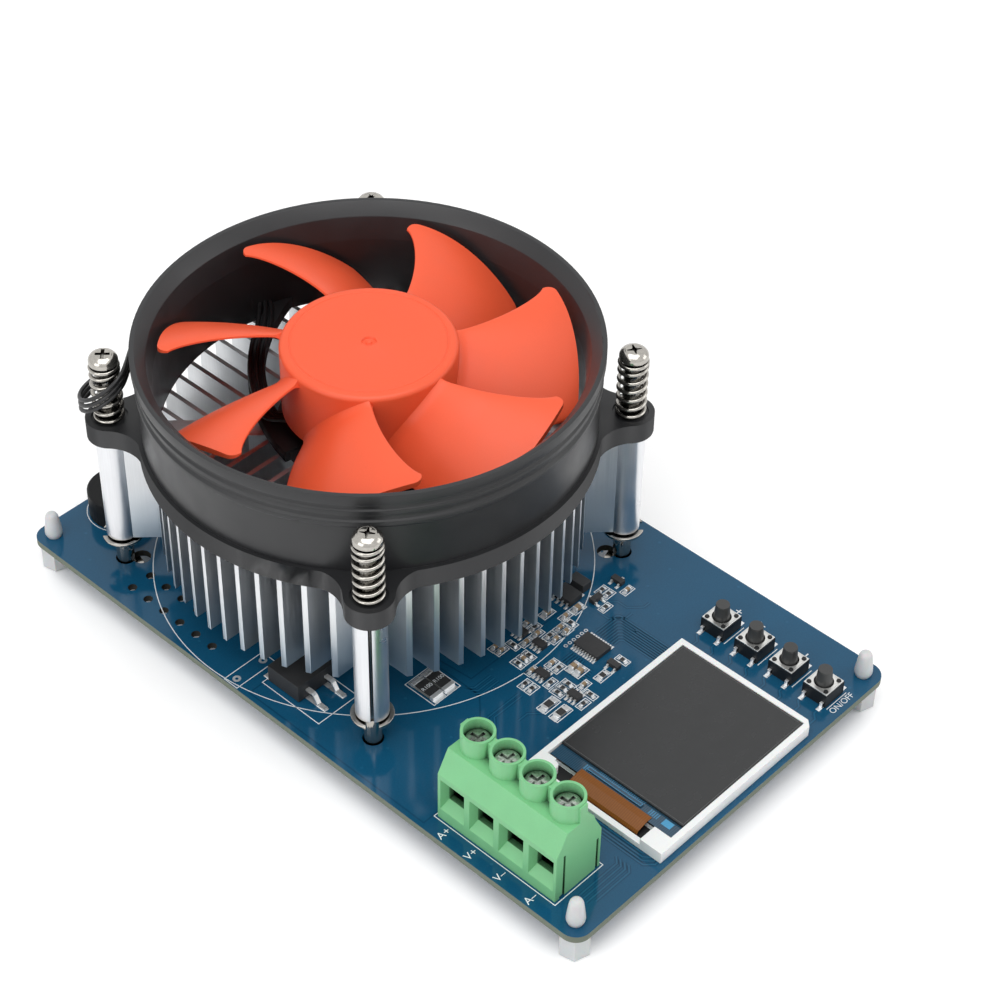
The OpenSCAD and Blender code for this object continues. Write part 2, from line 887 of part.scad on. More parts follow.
// Flat outline of the heatsink: core, arms, screw posts and fins
module sink_outline() {
    difference() {
        union() {
            circle(core_r, $fn = 96);
            for (turn = [45 : 90 : 315])
                rotate(turn) {
                    translate([0, -arm_t / 2])
                        square([screw_reach, arm_t]);
                    translate([screw_reach, 0])
                        circle(post_r);
                }
            intersection() {
                circle(sink_r, $fn = 180);
                union() {
                    for (turn = [0 : 90 : 270], side = [-1, 1], fin = [0 : fin_count - 1]) {
                        off = (fin + 0.5) * fin_pitch;
                        rotate(turn)
                            translate([off, side * off - fin_t / 2])
                                square([sink_r - off, fin_t]);
                    }
                }
            }
        }
        for (turn = [45 : 90 : 315])
            rotate(turn)
                translate([screw_reach, 0]) {
                    circle(d = post_bore_d);
                    translate([0, -post_slot / 2])
                        square([2 * post_r, post_slot]);
                }
    }
}

// Finned heatsink with a core that reaches down to the power device
module heatsink() {
    color("LightSteelBlue")
    translate([cooler_x, cooler_y, sink_z])
        union() {
            linear_extrude(sink_h)
                sink_outline();
            translate([0, 0, -core_drop])
                cylinder(r = core_r - 0.5, h = core_drop + slit, $fn = 96);
        }
}

// Side outline of the ring's wall, radius by height over the flange bottom
module ring_outline() {
    h = ring_h;
    polygon([
        [ring_bore_r, skirt_h], [ring_bore_r, h - 8],
        [ring_bore_r + 0.9, h - 2.6], [ring_r - 0.9, h], [ring_r, h], [ring_r, h - 2.4],
        [wall_r + 0.1, h - 2.8], [wall_r + 0.1, h - 3.9],
        [ring_r - 0.4, h - 4.2], [ring_r - 0.4, h - 5.2], [wall_r, h - 5.6], [wall_r, h - 6.6],
        [ring_r - 0.4, h - 7], [ring_r - 0.4, h - 8], [wall_r, h - 8.5], [wall_r, skirt_h]
    ]);
}

// Flat outline of one screw ear with hollow roundings into the flange, arm along X
module ear_outline() {
    far = ring_r + ear_fillet - ear_bite;
    near = ear_r + ear_fillet;
    along = (far * far - near * near + screw_reach * screw_reach) / (2 * screw_reach);
    aside = sqrt(far * far - along * along);
    root = (skirt_r + ring_r) / 2;
    difference() {
        union() {
            translate([screw_reach, 0])
                circle(ear_r);
            for (side = [-1, 1])
                polygon([
                    [root, 0], [along * root / far, side * aside * root / far], [along, side * aside],
                    [screw_reach + (along - screw_reach) * ear_r / near, side * aside * ear_r / near],
                    [screw_reach, 0]
                ]);
        }
        for (side = [-1, 1])
            translate([along, side * aside])
                circle(ear_fillet);
    }
}

// Flat outline of the flange with its four screw ears
module flange_outline() {
    difference() {
        union() {
            circle(ring_r, $fn = 180);
            for (turn = [45 : 90 : 315])
                rotate(turn)
                    ear_outline();
        }
        circle(skirt_r, $fn = 180);
    }
}

// Flat outline of one curved strut from the motor base to the ring
module strut_outline() {
    intersection() {
        translate([strut_arc_off * cos(strut_turn), strut_arc_off * sin(strut_turn)])
            difference() {
                circle(strut_arc_r + strut_w / 2, $fn = 120);
                circle(strut_arc_r - strut_w / 2, $fn = 120);
            }
        circle(ring_bore_r + 0.8, $fn = 120);
        rotate(strut_turn + 180)
            translate([-2 * ring_r, -2 * ring_r])
                square([4 * ring_r, 2 * ring_r]);
    }
}

// Fan frame: ring, screw ears, curved struts, motor base and bearing tube
module fan_frame() {
    color("DimGray")
    translate([cooler_x, cooler_y, 0])
        difference() {
            union() {
                translate([0, 0, flange_z]) {
                    rotate_extrude($fn = 180)
                        ring_outline();
                    linear_extrude(ear_t)
                        flange_outline();
                }
                for (turn = [0 : 120 : 240])
                    rotate(turn)
                        translate([0, 0, sink_top + base_gap])
                            linear_extrude(strut_t)
                                strut_outline();
                translate([0, 0, sink_top + base_gap])
                    cylinder(r = base_r, h = base_t, $fn = 96);
                translate([0, 0, base_top - slit])
                    cylinder(r = tube_r, h = tube_top - base_top + slit);
                for (turn = [30 : 120 : 270])
                    rotate(turn)
                        translate([12, 0, base_top - slit])
                            cylinder(d = 2.4, h = fan_board_z - base_top + slit);
            }
            translate([0, 0, base_top])
                cylinder(r = bearing_r + slit, h = tube_top);
            for (turn = [45 : 90 : 315])
                rotate(turn) {
                    translate([0, -arm_t / 2 - post_gap, flange_z - over])
                        cube([screw_reach, arm_t + 2 * post_gap, over + pocket_h]);
                    translate([screw_reach, 0, 0]) {
                        translate([0, 0, flange_z - over]) {
                            cylinder(r = post_r + post_gap, h = over + pocket_h);
                            cylinder(d = ear_hole_d, h = ear_t + 2 * over);
                        }
                        translate([0, 0, spring_foot])
                            cylinder(d = counterbore_d, h = 2 * counterbore_h);
                    }
                }
            rotate(lead_slot_turn)
                translate([ring_bore_r - 0.6, -lead_slot_w / 2, strut_top])
                    cube([ring_r, lead_slot_w, lead_slot_h]);
        }
}

// Screws with round heads, a clip groove and a threaded end under the board
module mounting_screws() {
    color("Silver")
    at_screws()
        difference() {
            union() {
                translate([0, 0, screw_end])
                    cylinder(d = screw_d, h = head_low - screw_end + slit);
                translate([0, 0, head_low])
                    rotate_extrude()
                        polygon([
                            [0, 0], [head_d / 2 - 0.2, 0], [head_d / 2, 0.3],
                            [head_d / 2 - 0.15, head_h * 0.55],
                            [head_d / 2 - 0.6, head_h * 0.85], [head_d / 2 - 1.2, head_h], [0, head_h]
                        ]);
            }
            translate([0, 0, clip_z - slit])
                difference() {
                    cylinder(d = 2 * screw_d, h = clip_t + 2 * slit);
                    cylinder(d = clip_groove_d, h = clip_t + 2 * slit);
                }
            for (turn = [0, 90])
                translate([0, 0, head_low + head_h - 1.2])
                    rotate(turn)
                        block([3.4, 0.8, 2]);
        }
}

// Ring of points round the spring wire at one step
function spring_ring(step) = [
    let (turn = step * 360 / spring_steps, middle = spring_d / 2 - spring_wire_d / 2)
    for (side = [0 : spring_sides - 1])
        let (
            lean = side * 360 / spring_sides,
            reach = middle + spring_wire_d / 2 * cos(lean),
            rise = spring_foot + spring_wire_d / 2 + slit
                + (spring_l - spring_wire_d - 2 * slit) * step / (spring_turns * spring_steps)
        )
        [reach * cos(turn), reach * sin(turn), rise + spring_wire_d / 2 * sin(lean)]
];

// Triangles that close one end of a solid, joining the two halves of its ring
function end_faces(sides, start) = [
    for (side = [0 : sides / 2 - 2])
        let (across = sides - 1 - side)
        each [
            [start + side, start + side + 1, start + across - 1],
            [start + side, start + across - 1, start + across]
        ]
];

// Solid through a list of point rings with one even number of points each
module loft(rings) {
    sides = len(rings[0]);
    count = len(rings);
    polyhedron(
        points = [for (ring = rings) each ring],
        faces = concat(
            end_faces(sides, 0),
            [for (face = end_faces(sides, (count - 1) * sides)) [face[2], face[1], face[0]]],
            [
                for (ring = [0 : count - 2], side = [0 : sides - 1])
                    let (next = (side + 1) % sides)
                    each [
                        [ring * sides + side, (ring + 1) * sides + side, (ring + 1) * sides + next],
                        [ring * sides + side, (ring + 1) * sides + next, ring * sides + next]
                    ]
            ]
        ),
        convexity = 10
    );
}

// Pressed springs between the ears and the screw heads
module mounting_springs() {
    color("Silver")
    at_screws()
        loft([for (step = [0 : spring_turns * spring_steps]) spring_ring(step)]);
}

// Open clips in the screw grooves under the heatsink posts
module retaining_clips() {
    color("Gray")
    at_screws()
        translate([0, 0, clip_z])
            difference() {
                cylinder(d = clip_d, h = clip_t);
                translate([0, 0, -over])
                    cylinder(d = clip_groove_d + 0.1, h = clip_t + 2 * over);
                translate([0, -clip_groove_d / 2 + 0.2, -over])
                    cube([clip_d, clip_groove_d - 0.4, clip_t + 2 * over]);
            }
}

// Nuts under the board
module mounting_nuts() {
    color("Silver")
    at_screws()
        translate([0, 0, foot_h - nut_h])
            difference() {
                cylinder(d = nut_af / cos(30), h = nut_h, $fn = 6);
                translate([0, 0, -over])
                    cylinder(d = screw_d + 0.1, h = nut_h + 2 * over);
            }
}

// Turn of the blade's mid surface at a share of the span and of the chord
function blade_turn(span, chord) =
    let (
        lead = lead_root + (lead_tip - lead_root) * pow(span, 1.15),
        trail = trail_root + (trail_tip - trail_root) * pow(span, 0.75)
    )
    lead + (trail - lead) * chord;

// Height of the blade's mid surface at a share of the span and of the chord
function blade_height(span, chord) =
    let (flat = 0.5 - 0.25 * span)
    blade_top - (blade_top - blade_low) * (flat * chord + (1 - flat) * chord * chord);

// Point on the upper or lower skin of a blade
function blade_point(span, chord, skin) =
    let (
        radius = hub_r - 0.8 + (blade_r - hub_r + 0.8) * span,
        turn = blade_turn(span, chord),
        step = 0.02,
        run = radius * (blade_turn(span, chord + step) - blade_turn(span, chord)) * PI / 180,
        drop = blade_height(span, chord + step) - blade_height(span, chord),
        long = norm([run, drop]),
        body = blade_t / 2 * (0.3 + 0.7 * sqrt(1 - pow(2 * chord - 1, 4))),
        side = skin * body * drop / long / radius * 180 / PI,
        lift = -skin * body * run / long
    )
    [radius * cos(turn + side), radius * sin(turn + side), blade_height(span, chord) + lift];

// Closed outline of a blade at one share of the span
function blade_ring(span) = concat(
    [for (step = [0 : chord_steps]) blade_point(span, step / chord_steps, 1)],
    [for (step = [chord_steps : -1 : 0]) blade_point(span, step / chord_steps, -1)]
);

// Impeller: hub cup with seven swept and twisted blades
module fan_impeller() {
    color("Tomato")
    translate([cooler_x, cooler_y, 0])
        union() {
            translate([0, 0, hub_z])
                rotate_extrude($fn = 96)
                    polygon([
                        [shaft_d / 2 + slit, hub_h - hub_roof], [hub_r - hub_wall, hub_h - hub_roof],
                        [hub_r - hub_wall, 0], [hub_r, 0], [hub_r, hub_h - hub_round],
                        [hub_r - 0.3, hub_h - 0.3], [hub_r - hub_round, hub_h], [1, hub_h],
                        [0, hub_h - 0.4], [0, hub_h - 0.8], [shaft_d / 2 + slit, hub_h - 0.8]
                    ]);
            for (blade = [0 : blade_count - 1])
                rotate(-blade * 360 / blade_count)
                    loft([for (step = [0 : span_steps]) blade_ring(step / span_steps)]);
        }
}

// Steel cup of the rotor inside the hub
module rotor_yoke() {
    low = hub_z + 0.8;
    high = hub_top - hub_roof;
    color("SlateGray")
    translate([cooler_x, cooler_y, 0])
        difference() {
            translate([0, 0, low])
                cylinder(r = yoke_r, h = high - low);
            translate([0, 0, low - over])
                cylinder(r = yoke_r - yoke_t, h = high - low - yoke_t + over);
            translate([0, 0, low])
                cylinder(d = shaft_d + 2 * slit, h = high);
        }
}

// Magnet ring inside the rotor cup
module rotor_magnet() {
    color("DarkSlateGray")
    translate([cooler_x, cooler_y, hub_z + 1])
        difference() {
            cylinder(r = magnet_r, h = magnet_h);
            translate([0, 0, -over])
                cylinder(r = magnet_r - magnet_t, h = magnet_h + 2 * over);
        }
}

// Fan shaft from the hub down into the bearing
module fan_shaft() {
    color("Silver")
    translate([cooler_x, cooler_y, base_top + 0.5])
        cylinder(d = shaft_d, h = hub_top - 0.8 - base_top - 0.5);
}

// Sleeve bearing in the tube of the frame
module fan_bearing() {
    color("Peru")
    translate([cooler_x, cooler_y, base_top])
        difference() {
            cylinder(r = bearing_r, h = tube_top - base_top);
            translate([0, 0, 0.3])
                cylinder(d = shaft_d + 0.06, h = tube_top);
        }
}

// Stator plates with four poles round the bearing tube
module stator_core() {
    color("Gray")
    translate([cooler_x, cooler_y, stator_z])
        linear_extrude(stator_h)
            difference() {
                union() {
                    circle(stator_hub_r);
                    intersection() {
                        circle(stator_r, $fn = 96);
                        for (turn = [0 : 90 : 270])
                            rotate(turn) {
                                translate([0, -pole_neck / 2])
                                    square([stator_r, pole_neck]);
                                translate([stator_r - pole_cap_t, -stator_r / 2])
                                    square([2 * pole_cap_t, stator_r]);
                            }
                    }
                }
                circle(tube_r + slit);
            }
}

// Copper coils on the four poles
module stator_coils() {
    inner = stator_hub_r + 0.3;
    outer = stator_r - pole_cap_t - 0.2;
    color("Chocolate")
    translate([cooler_x, cooler_y, stator_z])
        for (turn = [0 : 90 : 270])
            rotate(turn)
                difference() {
                    translate([inner, -pole_neck / 2 - coil_over, -coil_over])
                        cube([outer - inner, pole_neck + 2 * coil_over, stator_h + 2 * coil_over]);
                    translate([0, -pole_neck / 2 - slit, -slit])
                        cube([stator_r, pole_neck + 2 * slit, stator_h + 2 * slit]);
                }
}

// Ring-shaped circuit board of the fan on three short posts
module fan_circuit_board() {
    color("DarkGreen")
    translate([cooler_x, cooler_y, fan_board_z])
        difference() {
            cylinder(r = fan_board_r, h = fan_board_t);
            translate([0, 0, -over])
                cylinder(r = tube_r + 0.3, h = fan_board_t + 2 * over);
        }
}

// Middle line of the three fan wires: each entry is a point and the step to the next wire
strut_low = strut_top + wire_d / 2 + slit;
strut_way = [
    for (turn = [157 : -7 : 122]) let (way = [cos(turn), sin(turn), 0])
        [[strut_arc_off * cos(strut_turn), strut_arc_off * sin(strut_turn), strut_low] + strut_arc_r * way,
            wire_step * way]
];
ring_way = [
    for (turn = [92 : 8 : 124])
        [[lead_r * cos(turn), lead_r * sin(turn), strut_top + 4.2 + (turn - 90) * 0.23], [0, 0, wire_step]]
];
wrap_way = [
    for (step = [0 : wrap_turns * wrap_steps])
        let (
            turn = -45 - step * 360 / wrap_steps,
            reach = (screw_reach + wrap_out) / sqrt(2),
            rise = wrap_mid + wrap_tilt * cos(turn + 45) - 3 * wire_step * (step / wrap_steps - wrap_half)
        )
        [[-reach + wrap_r * cos(turn), reach + wrap_r * sin(turn), rise], [0, 0, wire_step]]
];
lead_way = concat(
    [[[-12.2, 7.6, fan_board_z + fan_board_t + 0.7], [-1, -0.8, 0]],
     [[-14.6, 10.6, fan_board_z + fan_board_t + 0.7], [-1.2, -0.3, 0]]],
    strut_way,
    [[[9.6, 41.6, strut_low + 0.1], [-0.9, 0.9, 0]],
     [[10.9, 44.4, strut_low + 0.9], [-1, 0.3, 0.8]],
     [[11.3, 47.6, strut_low + 1.6], [-0.6, 0, 1.2]],
     [[9.4, 49.8, strut_low + 2.2], [0, 0, wire_step]],
     [[5, 49.8, strut_low + 3], [0, 0, wire_step]]],
    ring_way, wrap_way,
    [[[-32.8, 41.5, wrap_mid - 4.6], [0.6, 0.9, 1.1]],
     [[-31.6, 42.9, ear_top - 1], [0.9, 0.9, 0.4]],
     [[-31.5, 43.5, ear_top - 4], [0.9, 0.9, 0]],
     [[-31.2, 43.8, ear_top - 9], [0.7, 1.1, 0.2]],
     [[-28.6, 45.6, plug_top + 9], [0.2, 1.2, 0.6]],
     [[-21, 48.8, plug_top + 5], [0.2, 0.6, 1.2]],
     [[-15.5, 50.6, plug_top + 4], [1.4, 0, 1.3]],
     [[-12.6, plug_y, plug_top + 2.8], [2.3, 0, 0.7]],
     [[plug_x, plug_y, plug_top + 1.2], [plug_pitch, 0, 0]],
     [[plug_x, plug_y, plug_top - 0.6], [plug_pitch, 0, 0]]]
);

// Frames carried along a list of directions without twist
function carried(ways) = [
    for (
        at = 0, side = unit(cross(ways[0], [0, 0.3, 1]));
        at < len(ways);
        at = at + 1, side = at < len(ways) ? unit(side - ways[at] * (side * ways[at])) : side
    ) side
];

// Rings of points along one wire
function wire_rings(line) =
    let (
        last = len(line) - 1,
        ways = [for (at = [0 : last]) unit(line[min(at + 1, last)] - line[max(at - 1, 0)])],
        sides = carried(ways)
    )
    [
        for (at = [0 : last])
            [
                for (side = [0 : wire_sides - 1])
                    let (lean = -side * 360 / wire_sides)
                    line[at] + wire_d / 2 * (cos(lean) * sides[at] + sin(lean) * cross(ways[at], sides[at]))
            ]
    ];

// Three wires from the fan board along a strut, round the left screw and down to the plug
module fan_lead() {
    color("Black")
    translate([cooler_x, cooler_y, 0])
        for (wire = [-1, 0, 1])
            loft(wire_rings([for (entry = lead_way) entry[0] + wire * entry[1]]));
}

// Place of the power device under the heatsink core
module at_device() {
    translate([cooler_x, cooler_y, board_top])
        children();
}

// Moulded body of the power device, lying on the board
module load_transistor() {
    color("Black")
    at_device()
        block([device_w, device_l, device_t - tab_t]);
}

// Metal tab of the power device, facing the heatsink
module load_transistor_tab() {
    color("Silver")
    at_device()
        translate([0, 0, device_t - tab_t])
            block([device_w - 1, device_l - 1, tab_t]);
}

// Three bent leads into the board
module load_transistor_leads() {
    color("Silver")
    at_device()
        for (lead = [-1, 0, 1])
            translate([lead * 5.45 + 0.6, -device_l / 2, 0])
                rotate([90, 0, -90])
                    linear_extrude(1.2)
                        polygon([
                            [0, 1.8], [4.3, 1.8], [4.3, -board_t - 1.6], [3.7, -board_t - 1.6],
                            [3.7, 1.2], [0, 1.2]
                        ]);
}

// Pad between the power device and the heatsink
module thermal_pad() {
    color("LightGray")
    at_device()
        translate([0, 0, device_t])
            block([device_w + 1, device_l + 1, pad_t]);
}

// Moulded body of the transistor at the left edge
module edge_transistor() {
    color("Black")
    translate([edge_x, edge_y, board_top + 0.2])
        block([edge_l, edge_w, edge_t - 0.2]);
}

// Tab and bent leads of the edge transistor
module edge_transistor_leads() {
    color("Silver")
    translate([edge_x, edge_y, board_top]) {
        translate([0, 1.2, 0])
            block([edge_l - 0.6, edge_w + 0.8, 0.2]);
        for (lead = [-1, 1])
            translate([lead * 2.54 + 0.5, -edge_w / 2, 0])
                rotate([90, 0, -90])
                    linear_extrude(1)
                        polygon([
                            [0, 2.6], [1.8, 2.6], [2.4, 2.2], [3.4, 0.5], [5.4, 0.5], [5.4, 0],
                            [3.1, 0], [1.9, 2.1],
                            [0, 2.1]
                        ]);
    }
}

// Two flat shunt resistors side by side
module shunt_resistors() {
    color("DimGray")
    for (y = shunt_y)
        translate([shunt_x, y, board_top])
            block([shunt_l, shunt_w, shunt_h]);
}

// Body of the controller chip
module microcontroller() {
    color("Black")
    translate([mcu_x, chips_y + mcu_y, board_top + 0.1])
        block([mcu_w, mcu_l, mcu_h]);
}

// Bodies of the small amplifier and regulator chips
module small_circuits() {
    color("Black") {
        at_places(six_pin)
            translate([0, 0, 0.1])
                block([1.7, 2.9, 1.1]);
        at_places(eight_pin)
            translate([0, 0, 0.1])
                block([eight_pin_w, eight_pin_l, 1.5]);
    }
}

// Bodies of the small transistors and the diode
module small_transistors() {
    color("Black") {
        at_places(three_pin)
            translate([0, 0, 0.1])
                block([1.4, 2.9, 1]);
        at_places([diode_place])
            block([4.3, 2.6, 2]);
    }
}

// One row of gull-wing leads along Y, starting at x = 0
module lead_row(count, pitch, width, rise) {
    for (lead = [0 : count - 1])
        translate([0, (lead - (count - 1) / 2) * pitch + width / 2, 0])
            rotate([90, 0, 0])
                linear_extrude(width)
                    polygon([
                        [0, rise], [0.4, rise], [0.55, 0.15], [wing_run, 0.15], [wing_run, 0], [0.42, 0],
                        [0.3, rise - 0.15], [0, rise - 0.15]
                    ]);
}

// Leads of all small chips
module circuit_leads() {
    color("Silver") {
        at_places([[mcu_x, mcu_y, 0], [mcu_x, mcu_y, 180]])
            translate([mcu_w / 2, 0, 0])
                lead_row(10, mcu_pitch, 0.25, 0.6);
        for (turn = [0, 180]) {
            at_places(six_pin)
                rotate(turn)
                    translate([0.85, 0, 0])
                        lead_row(3, 0.95, 0.4, 0.65);
            at_places(eight_pin)
                rotate(turn)
                    translate([1.95, 0, 0])
                        lead_row(4, 1.27, 0.42, 0.9);
        }
        at_places(three_pin) {
            rotate(180)
                translate([0.7, 0, 0])
                    lead_row(2, 1.9, 0.42, 0.6);
            translate([0.7, 0, 0])
                lead_row(1, 1, 0.42, 0.6);
        }
    }
}

// Chip capacitors
module chip_capacitors() {
    color("Tan") {
        at_places(small_caps)
            block([1.6, 0.85, 0.8]);
        at_places(large_caps)
            block([2, 1.25, 1]);
    }
}

// Chip resistors
module chip_resistors() {
    color("DimGray") {
        at_places(small_resistors)
            block([1.6, 0.85, 0.5]);
        at_places(middle_resistors)
            block([2, 1.25, 0.55]);
        at_places(large_resistors)
            block([3.2, 1.6, 0.6]);
    }
}

circuit_board();
board_feet();
terminal_housing();
terminal_contacts();
terminal_screw(1);  // terminal_screw_1
terminal_screw(2);  // terminal_screw_2
terminal_screw(3);  // terminal_screw_3
terminal_screw(4);  // terminal_screw_4
wire_clamp(1);  // wire_clamp_1
wire_clamp(2);  // wire_clamp_2
wire_clamp(3);  // wire_clamp_3
wire_clamp(4);  // wire_clamp_4
display_frame();
display_light_guide();
display_glass();
display_driver();
display_flex();
switch_bases();
switch_covers();
switch_legs();
plunger(1);  // plus_button
plunger(2);  // set_button
plunger(3);  // minus_button
plunger(4);  // power_button
buzzer();
supply_jack();
supply_jack_contacts();
fan_header();
fan_header_pins();
fan_plug();
heatsink();
fan_frame();
mounting_screws();
mounting_springs();
retaining_clips();
mounting_nuts();
fan_impeller();
rotor_yoke();
rotor_magnet();
fan_shaft();
fan_bearing();
stator_core();
stator_coils();
fan_circuit_board();
fan_lead();
load_transistor();
load_transistor_tab();
load_transistor_leads();
thermal_pad();
edge_transistor();
edge_transistor_leads();
shunt_resistors();
microcontroller();
small_circuits();
small_transistors();
circuit_leads();
chip_capacitors();
chip_resistors();
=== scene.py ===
"""Looks of a fan-cooled direct-current load: board, cooler, display, push buttons and terminals."""

import logging
import math
from collections.abc import Sequence
from dataclasses import dataclass, field
from enum import Enum
from functools import cache

import bmesh
import bpy
from mathutils import Matrix, Vector
from mathutils.geometry import tessellate_polygon


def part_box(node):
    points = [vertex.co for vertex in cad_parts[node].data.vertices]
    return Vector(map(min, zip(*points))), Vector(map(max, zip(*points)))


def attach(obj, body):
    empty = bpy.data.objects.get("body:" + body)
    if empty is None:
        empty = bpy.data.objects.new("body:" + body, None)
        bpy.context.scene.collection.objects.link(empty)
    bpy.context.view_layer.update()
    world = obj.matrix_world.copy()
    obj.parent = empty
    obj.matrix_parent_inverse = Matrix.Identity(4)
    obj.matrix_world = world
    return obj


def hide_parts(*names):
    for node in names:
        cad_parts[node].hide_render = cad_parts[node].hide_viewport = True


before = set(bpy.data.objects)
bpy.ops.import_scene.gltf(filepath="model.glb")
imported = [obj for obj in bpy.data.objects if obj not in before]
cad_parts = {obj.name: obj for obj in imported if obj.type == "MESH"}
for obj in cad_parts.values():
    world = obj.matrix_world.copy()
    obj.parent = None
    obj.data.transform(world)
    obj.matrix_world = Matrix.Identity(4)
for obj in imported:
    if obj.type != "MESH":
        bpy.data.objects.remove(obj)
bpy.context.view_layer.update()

log = logging.getLogger("direct_current_load")

MM = 0.001
SAME_POINT = 1e-7
WELD = 1e-6
SOFT_ANGLE = 38.0
SOFT_STEPS = 2
LETTER_SCALE = 1.4
LEAST_MITRE = 0.4
LARGEST_TRIM = 0.4
ROUND_END = (0.05, 0.6)
BULGE = 0.5
LEAST_ROUGHNESS = 0.03
MILK_REACH = 1.5
# Distance between two stripes of the wave texture at a scale of 1
WAVE_PERIOD = 2 * math.pi / 20
CHIPS = ("chip_capacitors", "chip_resistors")

Colour = tuple[float, float, float]
Triple = tuple[float, float, float]
Spot = tuple[float, float]
Box = tuple[Vector, Vector]
Socket = bpy.types.NodeSocket
Value = Socket | Colour | float

UNIT: Spot = (0.0, 1.0)
MIDDLE_RANGE: Spot = (0.3, 0.7)
NARROW_RANGE: Spot = (0.35, 0.65)
TILT_RANGE: Spot = (0.4, 0.6)
WHITE: Colour = (1.0, 1.0, 1.0)
EVEN: Triple = (1.0, 1.0, 1.0)


class Layer(Enum):
    """Height of a printed layer over the board, in millimetres."""

    GAP = 0.012
    TRACE = 0.02
    PAD = 0.035
    INK = 0.05


class Shading(Enum):
    """Largest angle between two faces that still shade as one, in degrees."""

    FLAT = 1.0
    CRISP = 32.0
    ROUND = 60.0


class NodeGraph:
    """Shader nodes of one material or of the surroundings."""

    def __init__(self, owner: bpy.types.Material | bpy.types.World, shader: str = "Principled BSDF") -> None:
        """Start with the owner's one shader.

        Args:
            owner: Material or surroundings that hold the nodes.
            shader: Name of the shader node.
        """
        owner.use_nodes = True
        self.owner, self.tree = owner, owner.node_tree
        self.shader = self.tree.nodes[shader]

    def add(
        self, kind: str, inputs: dict[str | int, Value] | None = None, **settings: object
    ) -> bpy.types.Node:
        """Add a node.

        Args:
            kind: Type name of the node.
            inputs: Links and constants by name or number of the input.
            settings: Properties to set on it.

        Returns:
            The new node.
        """
        node = self.tree.nodes.new(kind)
        for key, value in settings.items():
            setattr(node, key, value)
        for key, value in (inputs or {}).items():
            self.join(value, node.inputs[key])
        return node

    def join(self, value: Value, target: Socket) -> None:
        """Give an input a link or a constant.

        Args:
            value: Output to link, or the constant.
            target: Input that gets it.
        """
        if isinstance(value, Socket):
            self.tree.links.new(value, target)
        else:
            target.default_value = (*value, 1.0) if target.type == "RGBA" else value

    def put(self, **values: Value) -> None:
        """Set inputs of the shader, named with underscores for spaces."""
        for key, value in values.items():
            self.join(value, self.shader.inputs[key.replace("_", " ")])

    def spot(self) -> Socket:
        """Give the place on the piece in metres."""
        return self.add("ShaderNodeTexCoord").outputs["Object"]

    def place(self, stretch: Triple = EVEN) -> Socket:
        """Give the place on the piece in millimetres, with patterns drawn out along each axis."""
        scale = tuple(1 / MM / share for share in stretch)
        return self.add("ShaderNodeMapping", {"Vector": self.spot(), "Scale": scale}).outputs["Vector"]

    def noise(self, size: float, detail: float = 4.0, stretch: Triple = EVEN) -> Socket:
        """Give cloudy noise from 0 to 1, with patches of a size in millimetres."""
        inputs = {"Scale": 1 / size, "Detail": detail, "Vector": self.place(stretch)}
        return self.add("ShaderNodeTexNoise", inputs).outputs["Fac"]

    def bands(self, width: float, axis: str, wobble: float = 0.0) -> Socket:
        """Give stripes from 0 to 1 across an axis, a width in millimetres apart."""
        inputs = {"Scale": WAVE_PERIOD / width, "Distortion": wobble, "Vector": self.place()}
        return self.add("ShaderNodeTexWave", inputs, wave_type="BANDS", bands_direction=axis).outputs["Fac"]

    def calculate(self, operation: str, *terms: Value) -> Socket:
        """Give the result of a math operation on outputs and numbers."""
        return self.add("ShaderNodeMath", dict(enumerate(terms)), operation=operation).outputs["Value"]

    def part(self, vector: Socket, axis: str) -> Socket:
        """Give the part of a vector along an axis."""
        return self.add("ShaderNodeSeparateXYZ", {"Vector": vector}).outputs[axis]

    def beyond(self, reach: Spot) -> Socket:
        """Tell whether a place lies outside a rectangle round the middle.

        Args:
            reach: Half width along X and Y in metres.

        Returns:
            Socket with 1 outside and 0 inside.
        """
        place = self.spot()
        away = [self.calculate("ABSOLUTE", self.part(place, axis)) for axis in "XY"]
        outside = [self.calculate("GREATER_THAN", *pair) for pair in zip(away, reach)]
        return self.calculate("MAXIMUM", *outside)

    def height(self) -> Socket:
        """Give the height of a place in metres."""
        return self.part(self.spot(), "Z")

    def flat(self) -> Socket:
        """Give 1 where a face looks up or down and 0 where it stands upright."""
        normal = self.add("ShaderNodeNewGeometry").outputs["Normal"]
        return self.fit(self.calculate("ABSOLUTE", self.part(normal, "Z")), TILT_RANGE, UNIT)

    def crevices(self, reach: float) -> Socket:
        """Give how open a place is, from 0 in a crevice to 1, over a reach in millimetres, as the mask for
        painted shade and painted shadow.
        """
        return self.add("ShaderNodeAmbientOcclusion", {"Distance": reach * MM}, samples=8).outputs["AO"]

    def seen(self) -> Socket:
        """Tell whether a ray comes from the eye, a mirror or a glass.

        Returns:
            Socket with 1 where it does and 0 elsewhere.
        """
        rays = self.add("ShaderNodeLightPath").outputs
        direct = self.calculate("MAXIMUM", rays["Is Camera Ray"], rays["Is Glossy Ray"])
        return self.calculate("MAXIMUM", direct, rays["Is Transmission Ray"])

    def fit(self, value: Socket, start: Spot, end: Spot) -> Socket:
        """Move a value from one range to another and hold it there."""
        return self.add("ShaderNodeMapRange", dict(enumerate((value, *start, *end)))).outputs[0]

    def mix(self, share: Socket, first: Colour | Socket, second: Colour | Socket) -> Socket:
        """Mix two colours by the share of the second one."""
        return self.add("ShaderNodeMix", {0: share, 6: first, 7: second}, data_type="RGBA").outputs[2]

    def blend(self, share: Socket, first: Socket, second: Socket) -> Socket:
        """Mix two values by the share of the second one."""
        return self.add("ShaderNodeMix", {0: share, 2: first, 3: second}, data_type="FLOAT").outputs[0]

